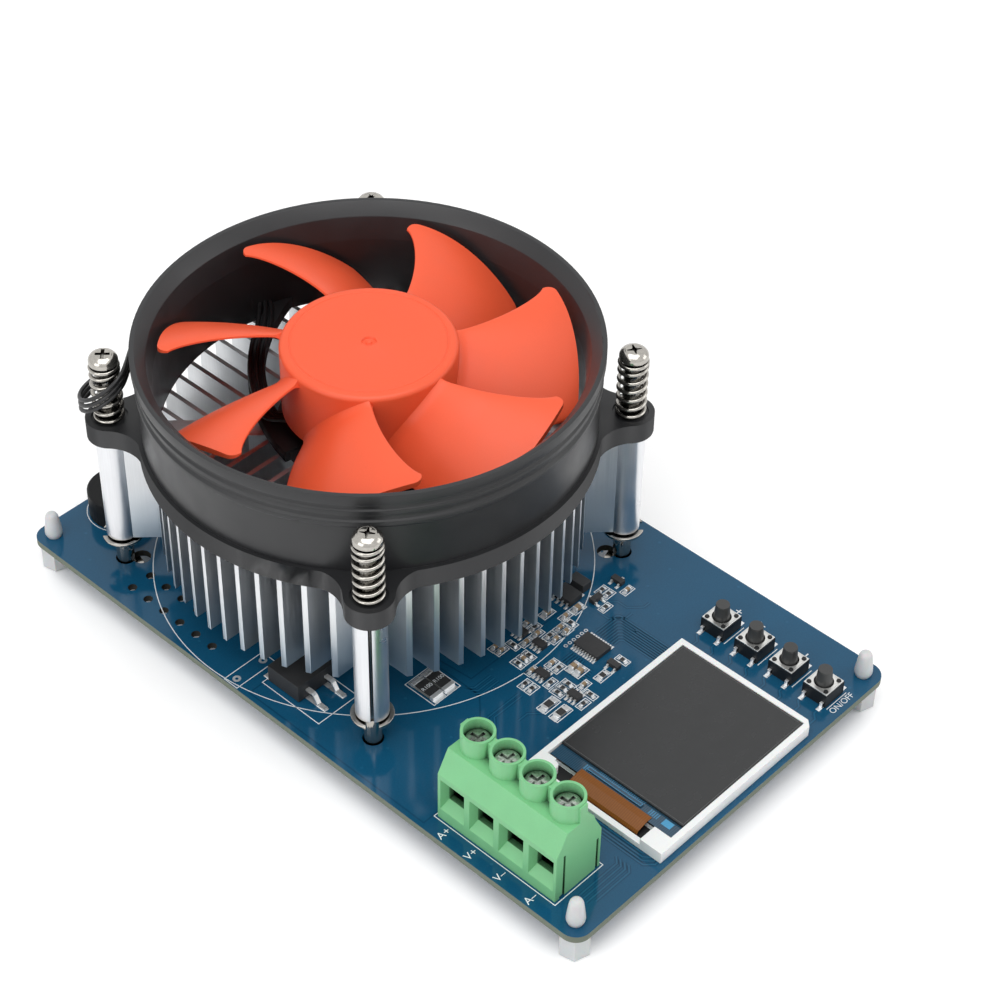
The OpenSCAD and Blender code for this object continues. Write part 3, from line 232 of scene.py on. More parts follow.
    def relief(self, height: Socket, depth: float) -> None:
        """Raise the surface by a pattern from 0 to 1, with a depth in millimetres."""
        bump = self.add("ShaderNodeBump", {"Distance": depth * MM, "Height": height})
        self.put(Normal=bump.outputs["Normal"])


def shade(colour: Colour, share: float) -> Colour:
    """Scale a colour and hold it under full white."""
    return tuple(min(1.0, part * share) for part in colour)


@dataclass(frozen=True)
class Finish:
    """Moulded or plated surface with fine variation in its colour, gloss and relief, and painted shade in its
    crevices where asked.

    Attributes:
        name: Name of the material.
        slot: Material slot of the record that it belongs to; not used.
        colour: Linear colour.
        roughness: Middle roughness.
        metallic: Share of metal.
        tone: Share by which the colour varies.
        grain: Size of the fine grain in millimetres.
        depth: Depth of the fine grain in millimetres.
        stretch: How far the grain is drawn out along each axis.
        cloud: Size of the broad clouds as a multiple of the grain.
        sheen: Spread of the roughness.
        coat: Weight of a clear coat.
        milk: Share of light scattered inside.
        specular: Level of the plain reflection.
        crevice: Reach of the painted shade in crevices in millimetres.
        crevice_range: Openness over which the painted shade fades out.
        crevice_shade: Share of the colour left in a deep crevice by the painted shade.
    """

    name: str
    slot: str
    colour: Colour
    roughness: float = 0.45
    metallic: float = 0.0
    tone: float = 0.08
    grain: float = 0.35
    depth: float = 0.006
    stretch: Triple = EVEN
    sheen: float = 0.1
    coat: float = 0.0
    milk: float = 0.0
    specular: float = 0.5
    crevice: float = 0.0
    crevice_range: Spot = (0.3, 0.95)
    crevice_shade: float = 0.14
    cloud: float = 30.0

    @cache
    def material(self) -> bpy.types.Material:
        """Build the material once.

        Returns:
            The material of this finish.
        """
        graph = NodeGraph(bpy.data.materials.new(self.name))
        graph.put(Metallic=self.metallic, Coat_Weight=self.coat, Specular_IOR_Level=self.specular)
        if self.milk:
            graph.put(Subsurface_Weight=self.milk, Subsurface_Scale=MILK_REACH * MM)
        self.paint(graph)
        return graph.owner

    def paint(self, graph: NodeGraph) -> None:
        """Join colour, roughness and relief to the shader.

        Args:
            graph: Nodes of the material.
        """
        fine = graph.noise(self.grain, detail=5.0, stretch=self.stretch)
        broad = graph.noise(self.grain * self.cloud, detail=2.0)
        graph.put(Base_Color=self.toned(graph, fine, broad), Roughness=self.glossed(graph, broad))
        graph.relief(fine, self.depth)

    def toned(self, graph: NodeGraph, fine: Socket, broad: Socket) -> Socket:
        """Vary the colour, and paint shade into crevices where crevice is set.

        Args:
            graph: Nodes of the material.
            fine: Fine pattern.
            broad: Broad pattern.

        Returns:
            Socket with the colour.
        """
        both = graph.blend(graph.fit(fine, UNIT, NARROW_RANGE), fine, broad)
        share = graph.fit(both, MIDDLE_RANGE, UNIT)
        colour = graph.mix(share, shade(self.colour, 1 - self.tone), shade(self.colour, 1 + self.tone))
        # Painted shade: the colour darkens towards crevice_shade where ambient occlusion finds a crevice.
        if self.crevice:
            clear = graph.fit(graph.crevices(self.crevice), self.crevice_range, UNIT)
            colour = graph.mix(clear, shade(self.colour, self.crevice_shade), colour)
        return colour

    def glossed(self, graph: NodeGraph, pattern: Socket) -> Socket:
        """Vary the roughness by a pattern and give it."""
        low, high = self.roughness - self.sheen / 2, self.roughness + self.sheen / 2
        return graph.fit(pattern, MIDDLE_RANGE, (max(LEAST_ROUGHNESS, low), min(1.0, high)))


@dataclass(frozen=True)
class MaskFinish(Finish):
    """Solder mask on woven laminate, with the bare laminate at the board's edges.

    Attributes:
        edge: Colour of the bare laminate.
        wall: Colour of the walls of holes.
        reach: Half width along X and Y inside which walls are those of holes, in metres.
        weave: Distance between two threads of the glass cloth in millimetres.
        patch: Size of the broad patches in millimetres.
        ply: Distance between two plies of the laminate in millimetres.
        ply_shades: Darkest and palest share of the edge's colour.
        cut: Lowest and highest roughness of the cut edges.
    """

    edge: Colour = (0.150, 0.175, 0.135)
    wall: Colour = (0.016, 0.016, 0.012)
    reach: Spot = (0.0458, 0.0775)
    weave: float = 0.55
    patch: float = 22.0
    ply: float = 0.2
    ply_shades: Spot = (0.72, 1.2)
    cut: Spot = (0.6, 0.8)

    def paint(self, graph: NodeGraph) -> None:
        """Join mask, laminate and weave to the shader.

        Args:
            graph: Nodes of the material.
        """
        fine = graph.noise(self.grain)
        broad = graph.noise(self.patch, detail=2.0)
        dark, pale = (shade(self.edge, share) for share in self.ply_shades)
        layers = graph.mix(graph.bands(self.ply, "Z", wobble=0.4), dark, pale)
        layers = graph.mix(graph.beyond(self.reach), self.wall, layers)
        flat = graph.flat()
        rough = graph.blend(flat, graph.fit(fine, UNIT, self.cut), self.glossed(graph, broad))
        graph.put(Base_Color=graph.mix(flat, layers, self.toned(graph, fine, broad)), Roughness=rough)
        cloth = graph.blend(fine, graph.bands(self.weave, "X"), graph.bands(self.weave, "Y"))
        graph.relief(cloth, self.depth)


@dataclass(frozen=True)
class ExtrudedFinish(Finish):
    """Pressed aluminium with die lines along Z and sawn end faces, darker and bluer towards the bottom as
    painted shade and painted reflection of the blue board.

    Attributes:
        saw: Distance between two saw marks in millimetres.
        die: Size of a die line across its run in millimetres.
        draw: How far the die lines are drawn out along each axis.
        patch: Size of the broad patches in millimetres.
        painted_low_shade_and_reflection: Share of each colour left at the lower end, as painted shade with a
            painted blue reflection of the board.
        low: Heights in metres between which the painted shade and reflection fade out.
    """

    saw: float = 0.35
    die: float = 0.25
    draw: Triple = (1.0, 1.0, 90.0)
    patch: float = 9.0
    painted_low_shade_and_reflection: Colour = (0.66, 0.76, 0.83)
    low: Spot = (0.015, 0.031)

    def paint(self, graph: NodeGraph) -> None:
        """Join die lines and saw marks to the shader.

        Args:
            graph: Nodes of the material.
        """
        lines = graph.noise(self.die, stretch=self.draw)
        marks = graph.bands(self.saw, "DIAGONAL", wobble=1.2)
        pattern = graph.blend(graph.flat(), lines, graph.fit(marks, UNIT, MIDDLE_RANGE))
        # Painted shade and painted blue reflection of the board: the colour darkens and turns bluer towards
        # the bottom.
        deep = tuple(level * share for level, share in zip(self.colour, self.painted_low_shade_and_reflection))
        bright = self.toned(graph, pattern, graph.noise(self.patch, detail=3.0))
        colour = graph.mix(graph.fit(graph.height(), self.low, UNIT), deep, bright)
        graph.put(Base_Color=colour, Roughness=self.glossed(graph, pattern))
        graph.relief(pattern, self.depth)


@dataclass(frozen=True)
class StripedFinish(Finish):
    """Surface with even stripes, such as conductors under film or wound wire.

    Attributes:
        stripe: Colour of the stripes.
        pitch: Distance between two stripes in millimetres.
        axis: Axis across the stripes.
        edge: Range of the wave over which a stripe begins.
        cloud: Size of the broad clouds as a multiple of the grain.
    """

    stripe: Colour = (0.3, 0.15, 0.05)
    pitch: float = 0.5
    axis: str = "X"
    edge: Spot = (0.45, 0.6)
    cloud: float = 20.0

    def paint(self, graph: NodeGraph) -> None:
        """Join stripes and grain to the shader.

        Args:
            graph: Nodes of the material.
        """
        fine = graph.noise(self.grain)
        broad = graph.noise(self.grain * self.cloud, detail=2.0)
        line = graph.fit(graph.bands(self.pitch, self.axis), self.edge, UNIT)
        colour = graph.mix(line, self.toned(graph, fine, broad), self.stripe)
        graph.put(Base_Color=colour, Roughness=self.glossed(graph, broad))
        graph.relief(line, self.depth)


class Finishes:
    """Finishes of the object's pieces."""

    mask = MaskFinish(
        "blue_solder_mask", "board_blue", (0.006, 0.071, 0.145), 0.11, tone=0.14, depth=0.001, sheen=0.05,
        specular=0.36,
    )
    gap = Finish(
        "mask_over_bare_laminate", "board_blue", (0.004, 0.051, 0.107), 0.14, tone=0.12, grain=1.0,
        depth=0.001, specular=0.36,
    )
    trace = Finish(
        "mask_over_copper", "board_blue", (0.010, 0.090, 0.175), 0.11, tone=0.1, grain=1.0, depth=0.001,
        specular=0.36,
    )
    ink = Finish("white_legend_ink", "board_blue", (0.72, 0.76, 0.78), 0.62, tone=0.12, grain=0.2, depth=0.01)
    nylon = Finish(
        "milky_nylon", "nylon_white", (0.57, 0.59, 0.60), 0.38, tone=0.04, grain=0.5, depth=0.008, milk=0.35
    )
    # Painted shade darkens the block's wire entries and screw wells (crevice).
    green = Finish(
        "green_moulded_plastic", "terminal_green", (0.185, 0.50, 0.235), 0.42, tone=0.05, grain=0.16,
        depth=0.004, milk=0.06, crevice=9.0, crevice_range=(0.2, 0.42), crevice_shade=0.03,
    )
    tin = Finish(
        "bright_tin", "tin", (0.72, 0.72, 0.70), 0.3, 1.0, tone=0.1, grain=0.4, depth=0.005, sheen=0.2
    )
    solder = Finish("solder_joint", "tin", (0.83, 0.84, 0.85), 0.3, 0.7, tone=0.1, grain=0.25, depth=0.012)
    legs = Finish("tinned_legs", "tin", (0.86, 0.86, 0.85), 0.33, 0.75, tone=0.12, grain=0.2, depth=0.006)
    # Painted shade darkens the gaps between spring coils and the screw recesses (crevice).
    nickel = Finish(
        "bright_nickel", "steel", (0.45, 0.43, 0.395), 0.14, 1.0, tone=0.16, grain=0.5, depth=0.004,
        crevice=1.5,
    )
    # Painted shade darkens the recesses of the clamp screws (crevice).
    scored = Finish(
        "scored_nickel", "steel", (0.40, 0.44, 0.40), 0.24, 1.0, tone=0.5, grain=0.5, depth=0.05, crevice=0.5
    )
    brass = Finish("plated_brass", "clamp_brass", (0.70, 0.58, 0.33), 0.3, 1.0, tone=0.1, grain=0.4)
    frame_white = Finish(
        "white_display_frame", "frame_white", (0.80, 0.81, 0.81), 0.4, tone=0.03, grain=0.3, depth=0.004,
        milk=0.1,
    )
    guide = Finish("acrylic_light_guide", "light_guide", (0.78, 0.80, 0.83), 0.18, tone=0.04, coat=0.4)
    screen = Finish(
        "dark_satin_screen", "screen", (0.020, 0.021, 0.022), 0.26, tone=0.1, grain=0.1, depth=0.0012,
        sheen=0.05,
    )
    ledge = StripedFinish(
        "glass_ledge", "screen", (0.010, 0.042, 0.075), 0.14, tone=0.2, stripe=(0.016, 0.065, 0.115),
        pitch=0.45, axis="Y", depth=0.002, coat=0.3,
    )
    conductor = Finish(
        "pale_conductors", "screen", (0.05, 0.20, 0.35), 0.25, tone=0.25, grain=0.3, depth=0.002
    )
    patch = Finish("light_blue_patch", "screen", (0.055, 0.27, 0.47), 0.3, tone=0.15, grain=0.3, depth=0.002)
    film_edge = Finish("film_edge", "screen", (0.075, 0.078, 0.08), 0.4, tone=0.1, depth=0.002)
    driver = Finish(
        "polished_driver", "driver_dark", (0.014, 0.055, 0.10), 0.16, tone=0.15, grain=0.8, coat=0.3
    )
    flex = StripedFinish(
        "amber_film", "flex_amber", (0.215, 0.070, 0.009), 0.4, tone=0.16, stripe=(0.180, 0.057, 0.007),
        pitch=0.5, axis="Y", depth=0.006, specular=0.3,
    )
    black = Finish(
        "black_moulded_plastic", "black_plastic", (0.010, 0.0105, 0.0115), 0.42, tone=0.2, grain=0.2,
        specular=0.32,
    )
    buzzer_case = Finish(
        "matt_buzzer_case", "black_plastic", (0.007, 0.0073, 0.008), 0.5, tone=0.2, grain=0.2, specular=0.16
    )
    plunger = Finish("dark_plunger", "plunger_grey", (0.035, 0.036, 0.036), 0.42, tone=0.15, grain=0.2)
    aluminium = ExtrudedFinish(
        "extruded_aluminium", "aluminium", (0.71, 0.725, 0.74), 0.43, 1.0, tone=0.09, depth=0.012, sheen=0.14
    )
    drawn = Finish(
        "drawn_aluminium", "aluminium", (0.77, 0.78, 0.80), 0.31, 1.0, tone=0.06, grain=0.3, depth=0.004,
        stretch=(1.0, 1.0, 40.0),
    )
    charcoal = Finish(
        "charcoal_satin_plastic", "frame_black", (0.0165, 0.0170, 0.0185), 0.4, tone=0.12, grain=0.22,
        depth=0.003, specular=0.46,
    )
    coral = Finish(
        "coral_satin_plastic", "impeller_orange", (0.83, 0.104, 0.038), 0.42, tone=0.03, grain=0.25,
        depth=0.005, milk=0.05, specular=0.38,
    )
    magnet = Finish("bonded_ferrite", "magnet", (0.06, 0.06, 0.065), 0.6, tone=0.2)
    bronze = Finish("sintered_bronze", "bronze", (0.50, 0.33, 0.19), 0.45, 1.0, grain=0.15, depth=0.02)
    copper = StripedFinish(
        "enamelled_windings", "copper", (0.50, 0.20, 0.09), 0.28, 0.6, stripe=(0.18, 0.06, 0.03), pitch=0.35,
        axis="Z", depth=0.08,
    )
    motor_board = MaskFinish("green_solder_mask", "fan_board_green", (0.02, 0.13, 0.05), 0.25, depth=0.003)
    jacket = Finish("black_wire_jacket", "wire_black", (0.012, 0.012, 0.013), 0.38, tone=0.2, grain=0.5)
    pad = Finish("grey_silicone", "pad_grey", (0.42, 0.44, 0.46), 0.7, grain=0.4)
    ceramic = Finish(
        "tan_ceramic", "chip_cap_tan", (0.30, 0.215, 0.13), 0.45, tone=0.3, grain=0.12, depth=0.004
    )
    alumina = Finish("white_alumina", "chip_black", (0.26, 0.26, 0.25), 0.55, tone=0.06, grain=0.1)
    epoxy = Finish(
        "moulded_epoxy", "chip_black", (0.022, 0.022, 0.023), 0.5, tone=0.2, grain=0.12, depth=0.008
    )
    header = Finish("natural_nylon", "header_white", (0.76, 0.74, 0.66), 0.42, tone=0.04, milk=0.2)


def angles(part: Spot, steps: int) -> list[float]:
    """Give evenly spaced angles in radians, from the first to the last of a part in degrees."""
    return [math.radians(part[0] + (part[1] - part[0]) * step / steps) for step in range(steps + 1)]


def circle(middle: Spot, radius: float, height: float, turns: Sequence[float]) -> list[Vector]:
    """Give the points of a level circle at some angles in radians."""
    x, y = middle
    return [Vector((x + radius * math.cos(turn), y + radius * math.sin(turn), height)) for turn in turns]


def corners(low: Spot, high: Spot) -> list[Spot]:
    """Give the corners of a level rectangle in turn."""
    return [(low[0], low[1]), (high[0], low[1]), (high[0], high[1]), (low[0], high[1])]


class Shape:
    """Points and faces of one piece, gathered in millimetres."""

    def __init__(self) -> None:
        """Start with no points."""
        self.points: list[Vector] = []
        self.faces: list[tuple[int, ...]] = []

    def skin(self, rows: Sequence[Sequence[Vector]], around: bool = False, ahead: bool = False) -> None:
        """Cover rows of points with quads.

        Args:
            rows: Rows with one number of points each.
            around: Whether each row closes on itself.
            ahead: Whether the last row joins the first.
        """
        start, width, count = len(self.points), len(rows[0]), len(rows)
        for row in rows:
            self.points.extend(Vector(point) for point in row)
        for row in range(count if ahead else count - 1):
            for step in range(width if around else width - 1):
                near, far = start + row * width, start + (row + 1) % count * width
                turn = (step + 1) % width
                self.faces.append((near + step, near + turn, far + turn, far + step))

    def face(self, points: Sequence[Triple]) -> None:
        """Add one face with its own points.

        Args:
            points: Corners of the face in turn.
        """
        start = len(self.points)
        self.points.extend(Vector(point) for point in points)
        self.faces.append(tuple(range(start, len(self.points))))

    def turned(
        self, profile: Sequence[Spot], middle: Spot, steps: int = 64, closed: bool = False, start: float = 0.0
    ) -> None:
        """Turn a profile round an upright axis.

        Args:
            profile: Radius and height of each point.
            middle: Place of the axis.
            steps: Number of steps round.
            closed: Whether the profile joins its own start.
            start: Angle of the first step in degrees from X.
        """
        turns = angles((start, start + 360), steps)[:-1]
        rows = [circle(middle, radius, height, turns) for radius, height in profile]
        self.skin(rows, around=True, ahead=closed)

    def tube(self, path: Sequence[Vector], radius: float, sides: int = 12) -> None:
        """Run a round tube with rounded ends along a path.

        Args:
            path: Points along the middle.
            radius: Radius of the tube.
            sides: Number of points round it.
        """
        last = len(path) - 1
        side = None
        rows = []
        turns = angles((0, 360), sides)[:-1]
        for at, point in enumerate(path):
            way = (path[min(at + 1, last)] - path[max(at - 1, 0)]).normalized()
            side = way.orthogonal() if side is None else side - way * side.dot(way)
            side = side.normalized()
            other = way.cross(side)
            ring = [(side * math.cos(turn) + other * math.sin(turn)) * radius for turn in turns]
            for share in ROUND_END if at == 0 else ():
                rows.append([point - way * radius * BULGE * (1 - share) + spoke * share for spoke in ring])
            rows.append([point + spoke for spoke in ring])
            for share in reversed(ROUND_END) if at == last else ():
                rows.append([point + way * radius * BULGE * (1 - share) + spoke * share for spoke in ring])
        self.skin(rows, around=True)

    def block(self, low: Triple, high: Triple, edge: float) -> None:
        """Add a box with chamfered edges.

        Args:
            low: Lowest corner.
            high: Highest corner.
            edge: Width of the chamfers.
        """
        rows = []
        for inset, height in ((edge, low[2]), (0.0, low[2] + edge), (0.0, high[2] - edge), (edge, high[2])):
            plan = corners((low[0] + inset, low[1] + inset), (high[0] - inset, high[1] - inset))
            rows.append([Vector((*spot, height)) for spot in rounded(plan, edge, 1)])
        self.skin(rows, around=True)
        self.face(rows[0])
        self.face(rows[-1])

    def line(self, path: Sequence[Spot], width: float, height: float, closed: bool = False) -> None:
        """Draw a flat line with mitred bends.

        Args:
            path: Points along the line.
            width: Width of the line.
            height: Height of its face.
            closed: Whether the line joins its own start.
        """
        spots = [Vector(spot) for spot in path]
        count = len(spots)
        rows = []
        for at, spot in enumerate(spots):
            before = spots[at - 1] if closed or at else spot
            after = spots[(at + 1) % count] if closed or at < count - 1 else spot
            arrive = (spot - before).normalized() if spot != before else (after - spot).normalized()
            leave = (after - spot).normalized() if after != spot else arrive
            way = (arrive + leave).normalized()
            reach = width / 2 / max(LEAST_MITRE, way.dot(arrive))
            side = Vector((-way.y, way.x)) * reach
            rows.append([(*(spot - side), height), (*(spot + side), height)])
        self.skin([[Vector(point) for point in row] for row in rows], ahead=closed)

    def ring(self, middle: Spot, radius: float, width: float, height: float, steps: int = 32) -> None:
        """Draw a flat ring.

        Args:
            middle: Middle of the ring.
            radius: Radius of its middle line.
            width: Width of the line.
            height: Height of its face.
            steps: Number of steps round.
        """
        radii = (radius + width / 2, max(0.0, radius - width / 2))
        turns = angles((0, 360), steps)[:-1]
        self.skin(list(zip(*(circle(middle, reach, height, turns) for reach in radii))), ahead=True)

    def plate(self, low: Spot, high: Spot, height: float) -> None:
        """Draw a flat rectangle at a height."""
        self.face([(*corner, height) for corner in corners(low, high)])

    def outline(self, low: Spot, high: Spot, width: float, height: float) -> None:
        """Draw a flat line round a rectangle."""
        self.line(corners(low, high), width, height, closed=True)

    def recessed(
        self, middle: Spot, radius: float, cross: Spot, heights: Spot, turn: float = 0.0, steps: int = 48
    ) -> None:
        """Close a round top with a cross-shaped recess.

        Args:
            middle: Middle of the top.
            radius: Radius of the top.
            cross: Length and width of the recess's arms.
            heights: Height of the top and of the recess's floor.
            turn: Turn of the arms in degrees.
            steps: Number of steps round.
        """
        far, near = (length / 2 for length in cross)
        arm = [(far, -near), (far, near), (near, near), (near, far), (-near, far), (-near, near)]
        lean = Matrix.Rotation(math.radians(turn), 2)
        spots = [Vector(middle) + lean @ (Vector(spot) * sign) for sign in (1, -1) for spot in arm]
        top, floor = ([Vector((*spot, height)) for spot in spots] for height in heights)
        rim = circle(middle, radius, heights[0], angles((0, 360), steps)[:-1])
        start = len(self.points)
        self.points.extend(rim + top)
        self.faces.extend(tuple(start + at for at in face) for face in tessellate_polygon([rim, top]))
        self.skin([top, floor], around=True)
        self.face(floor)

    def sleeve(self, middle: Spot, radii: Spot, heights: Spot, part: Spot, steps: int = 60) -> None:
        """Add a part of an upright sleeve.

        Args:
            middle: Place of its axis.
            radii: Inner and outer radius.
            heights: Lowest and highest point.
            part: First and last angle in degrees.
            steps: Number of steps round.
        """
        (inner, outer), (foot, top), turns = radii, heights, angles(part, steps)
        profile = ((outer, foot), (outer, top), (inner, top), (inner, foot))
        rows = list(zip(*(circle(middle, radius, height, turns) for radius, height in profile)))
        self.skin(rows, around=True)
        self.face(rows[0])
        self.face(rows[-1])

    def words(self, text: str, size: float, middle: Spot, height: float) -> None:
        """Draw plain letters that read along X.

        Args:
            text: Letters to draw.
            size: Height of the letters.
            middle: Middle of the text.
            height: Height of the face.
        """
        curve = bpy.data.curves.new("letters", "FONT")
        curve.body, curve.size = text, size * LETTER_SCALE
        curve.align_x, curve.align_y = "CENTER", "CENTER"
        carrier = bpy.data.objects.new("letters", curve)
        bpy.context.scene.collection.objects.link(carrier)
        drawn = bpy.data.meshes.new_from_object(carrier.evaluated_get(bpy.context.evaluated_depsgraph_get()))
        start = len(self.points)
        self.points.extend(point.co + Vector((*middle, height)) for point in drawn.vertices)
        self.faces.extend(tuple(start + corner for corner in face.vertices) for face in drawn.polygons)
        bpy.data.objects.remove(carrier)
        bpy.data.curves.remove(curve)
        bpy.data.meshes.remove(drawn)

    def piece(
        self,
        name: str,
        finish: Finish,
        body: str = "base",
        stands_for: Sequence[str] = (),
        shading: Shading = Shading.CRISP,
    ) -> bpy.types.Object:
        """Make the piece and let it ride on a body.

        Args:
            name: Name of the piece.
            finish: Finish that it gets.
            body: Body that carries it.
            stands_for: Nodes that it replaces.
            shading: How round its shading is; flat keeps the drawn side of its faces.

        Returns:
            The new piece.
        """
        mesh = bpy.data.meshes.new(name)
        mesh.from_pydata([point * MM for point in self.points], [], self.faces)
        work = bmesh.new()
        work.from_mesh(mesh)
        bmesh.ops.remove_doubles(work, verts=work.verts, dist=SAME_POINT)
        if shading is not Shading.FLAT:
            bmesh.ops.recalc_face_normals(work, faces=work.faces)
        work.to_mesh(mesh)
        work.free()
        mesh.polygons.foreach_set("use_smooth", [True] * len(mesh.polygons))
        mesh.set_sharp_from_angle(angle=math.radians(shading.value))
        mesh.materials.append(finish.material())
        piece = bpy.data.objects.new(name, mesh)
        bpy.context.scene.collection.objects.link(piece)
        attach(piece, body)
        if stands_for:
            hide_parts(*stands_for)
        log.info("built %s on %s", name, body)
        return piece

    def printed(self, name: str, finish: Finish) -> None:
        """Make a flat piece on the base that keeps the drawn side of its faces."""
        self.piece(name, finish, shading=Shading.FLAT)


def rounded(outline: Sequence[Spot], trim: float, steps: int = 3) -> list[Spot]:
    """Round the corners of a closed outline.

    Args:
        outline: Corners of the outline.
        trim: Length that a rounding takes from each side.
        steps: Number of steps across a rounding.

    Returns:
        Points of the rounded outline.
    """
    bends = [Vector(bend) for bend in outline]
    points = []
    for at, corner in enumerate(bends):
        sides = [bends[at - 1] - corner, bends[(at + 1) % len(bends)] - corner]
        start, end = (corner + side.normalized() * min(trim, side.length * LARGEST_TRIM) for side in sides)
        for step in range(steps + 1):
            share = step / steps
            points.append(tuple(start.lerp(corner, share).lerp(corner.lerp(end, share), share)))
    return points


def weld(solid: bpy.types.Object) -> None:
    """Join the points of a solid that share a place."""
    solid.modifiers.new("joined_points", "WELD").merge_threshold = WELD


def dress(node: str, finish: Finish, soften: float = 0.0) -> None:
    """Give a solid its finish and soft edges.

    Args:
        node: Name of the solid's node.
        finish: Finish that it gets.
        soften: Width of the soft edges in millimetres.
    """
    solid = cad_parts[node]
    solid.data.materials.clear()
    solid.data.materials.append(finish.material())
    if soften:
        weld(solid)
        edges = solid.modifiers.new("soft_edges", "BEVEL")
        edges.width, edges.segments = soften * MM, SOFT_STEPS
        edges.limit_method, edges.angle_limit = "ANGLE", math.radians(SOFT_ANGLE)
        edges.use_clamp_overlap = edges.harden_normals = True
    log.info("dressed %s with %s", node, finish.name)


def bodies_of(node: str) -> list[Box]:
    """Find the separate bodies of a node.

    Args:
        node: Name of the node.

    Returns:
        Lowest and highest corner of each body in millimetres.
    """
    work = bmesh.new()
    work.from_mesh(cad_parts[node].data)
    bmesh.ops.remove_doubles(work, verts=work.verts, dist=WELD)
    left = set(work.verts)
    found = []
    while left:
        group, edge = set(), {left.pop()}
        while edge:
            point = edge.pop()
            group.add(point)
            near = {link.other_vert(point) for link in point.link_edges}
            edge |= near & left
            left -= near
        sides = list(zip(*(point.co / MM for point in group)))
        found.append((Vector(map(min, sides)), Vector(map(max, sides))))
    work.free()
    return sorted(found, key=lambda box: tuple(round(side, 3) for side in box[0]))


def pins_under(node: str, level: float, clear: float = 0.2, reach: float = 1.5) -> list[Spot]:
    """Find where the pins of a node come out under a level.

    Args:
        node: Name of the node.
        level: Height in millimetres.
        clear: Distance below the level at which a pin counts.
        reach: Distance within which points belong to one pin.

    Returns:
        Middles of the pins in millimetres.
    """
    groups: list[list[Vector]] = []
    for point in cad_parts[node].data.vertices:
        place = point.co / MM
        if place.z > level - clear:
            continue
        for group in groups:
            if (group[0].xy - place.xy).length < reach:
                group.append(place)
                break
        else:
            groups.append([place])
    spans = [([place.x for place in group], [place.y for place in group]) for group in groups]
    return [((min(xs) + max(xs)) / 2, (min(ys) + max(ys)) / 2) for xs, ys in spans]


def box_of(node: str) -> Box:
    """Give the lowest and highest corner of a node in millimetres."""
    low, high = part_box(node)
    return low / MM, high / MM


def shunts(width: float = 3.05, inset: float = 0.5) -> list[Box]:
    """Give the boxes of both shunts, side by side across the board.

    Args:
        width: Width of a shunt.
        inset: Distance that its ends stay inside the solids.

    Returns:
        Lowest and highest corner of each shunt in millimetres.
    """
    low, high = box_of("shunt_resistors")
    return [
        (Vector((left, low.y + inset, low.z)), Vector((left + width, high.y - inset, high.z)))
        for left in (low.x, high.x - width)
    ]


def middle_of(node: str) -> Spot:
    """Give the middle of a node in millimetres, seen from above."""
    low, high = box_of(node)
    return tuple((low.xy + high.xy) / 2)


def long_axis(low: Vector, high: Vector) -> int:
    """Give 0 where a box is longer along X and 1 where it is longer along Y."""
    return 0 if high.x - low.x > high.y - low.y else 1


@dataclass(frozen=True)
class Lamp:
    """Square soft lamp.

    Attributes:
        name: Name of the lamp.
        place: Middle of the lamp in metres.
        aim: Point that it looks at in metres.
        width: Side of the lamp in metres.
        power: Power in watts.
    """

    name: str
    place: Triple
    aim: Triple
    width: float
    power: float

    def light(self) -> None:
        """Hang the lamp in the scene."""
        data = bpy.data.lights.new(self.name, "AREA")
        data.shape, data.size, data.energy = "SQUARE", self.width, self.power
        lamp = bpy.data.objects.new(self.name, data)
        lamp.location = self.place
        lamp.rotation_euler = (Vector(self.aim) - Vector(self.place)).to_track_quat("-Z", "Y").to_euler()
        bpy.context.scene.collection.objects.link(lamp)


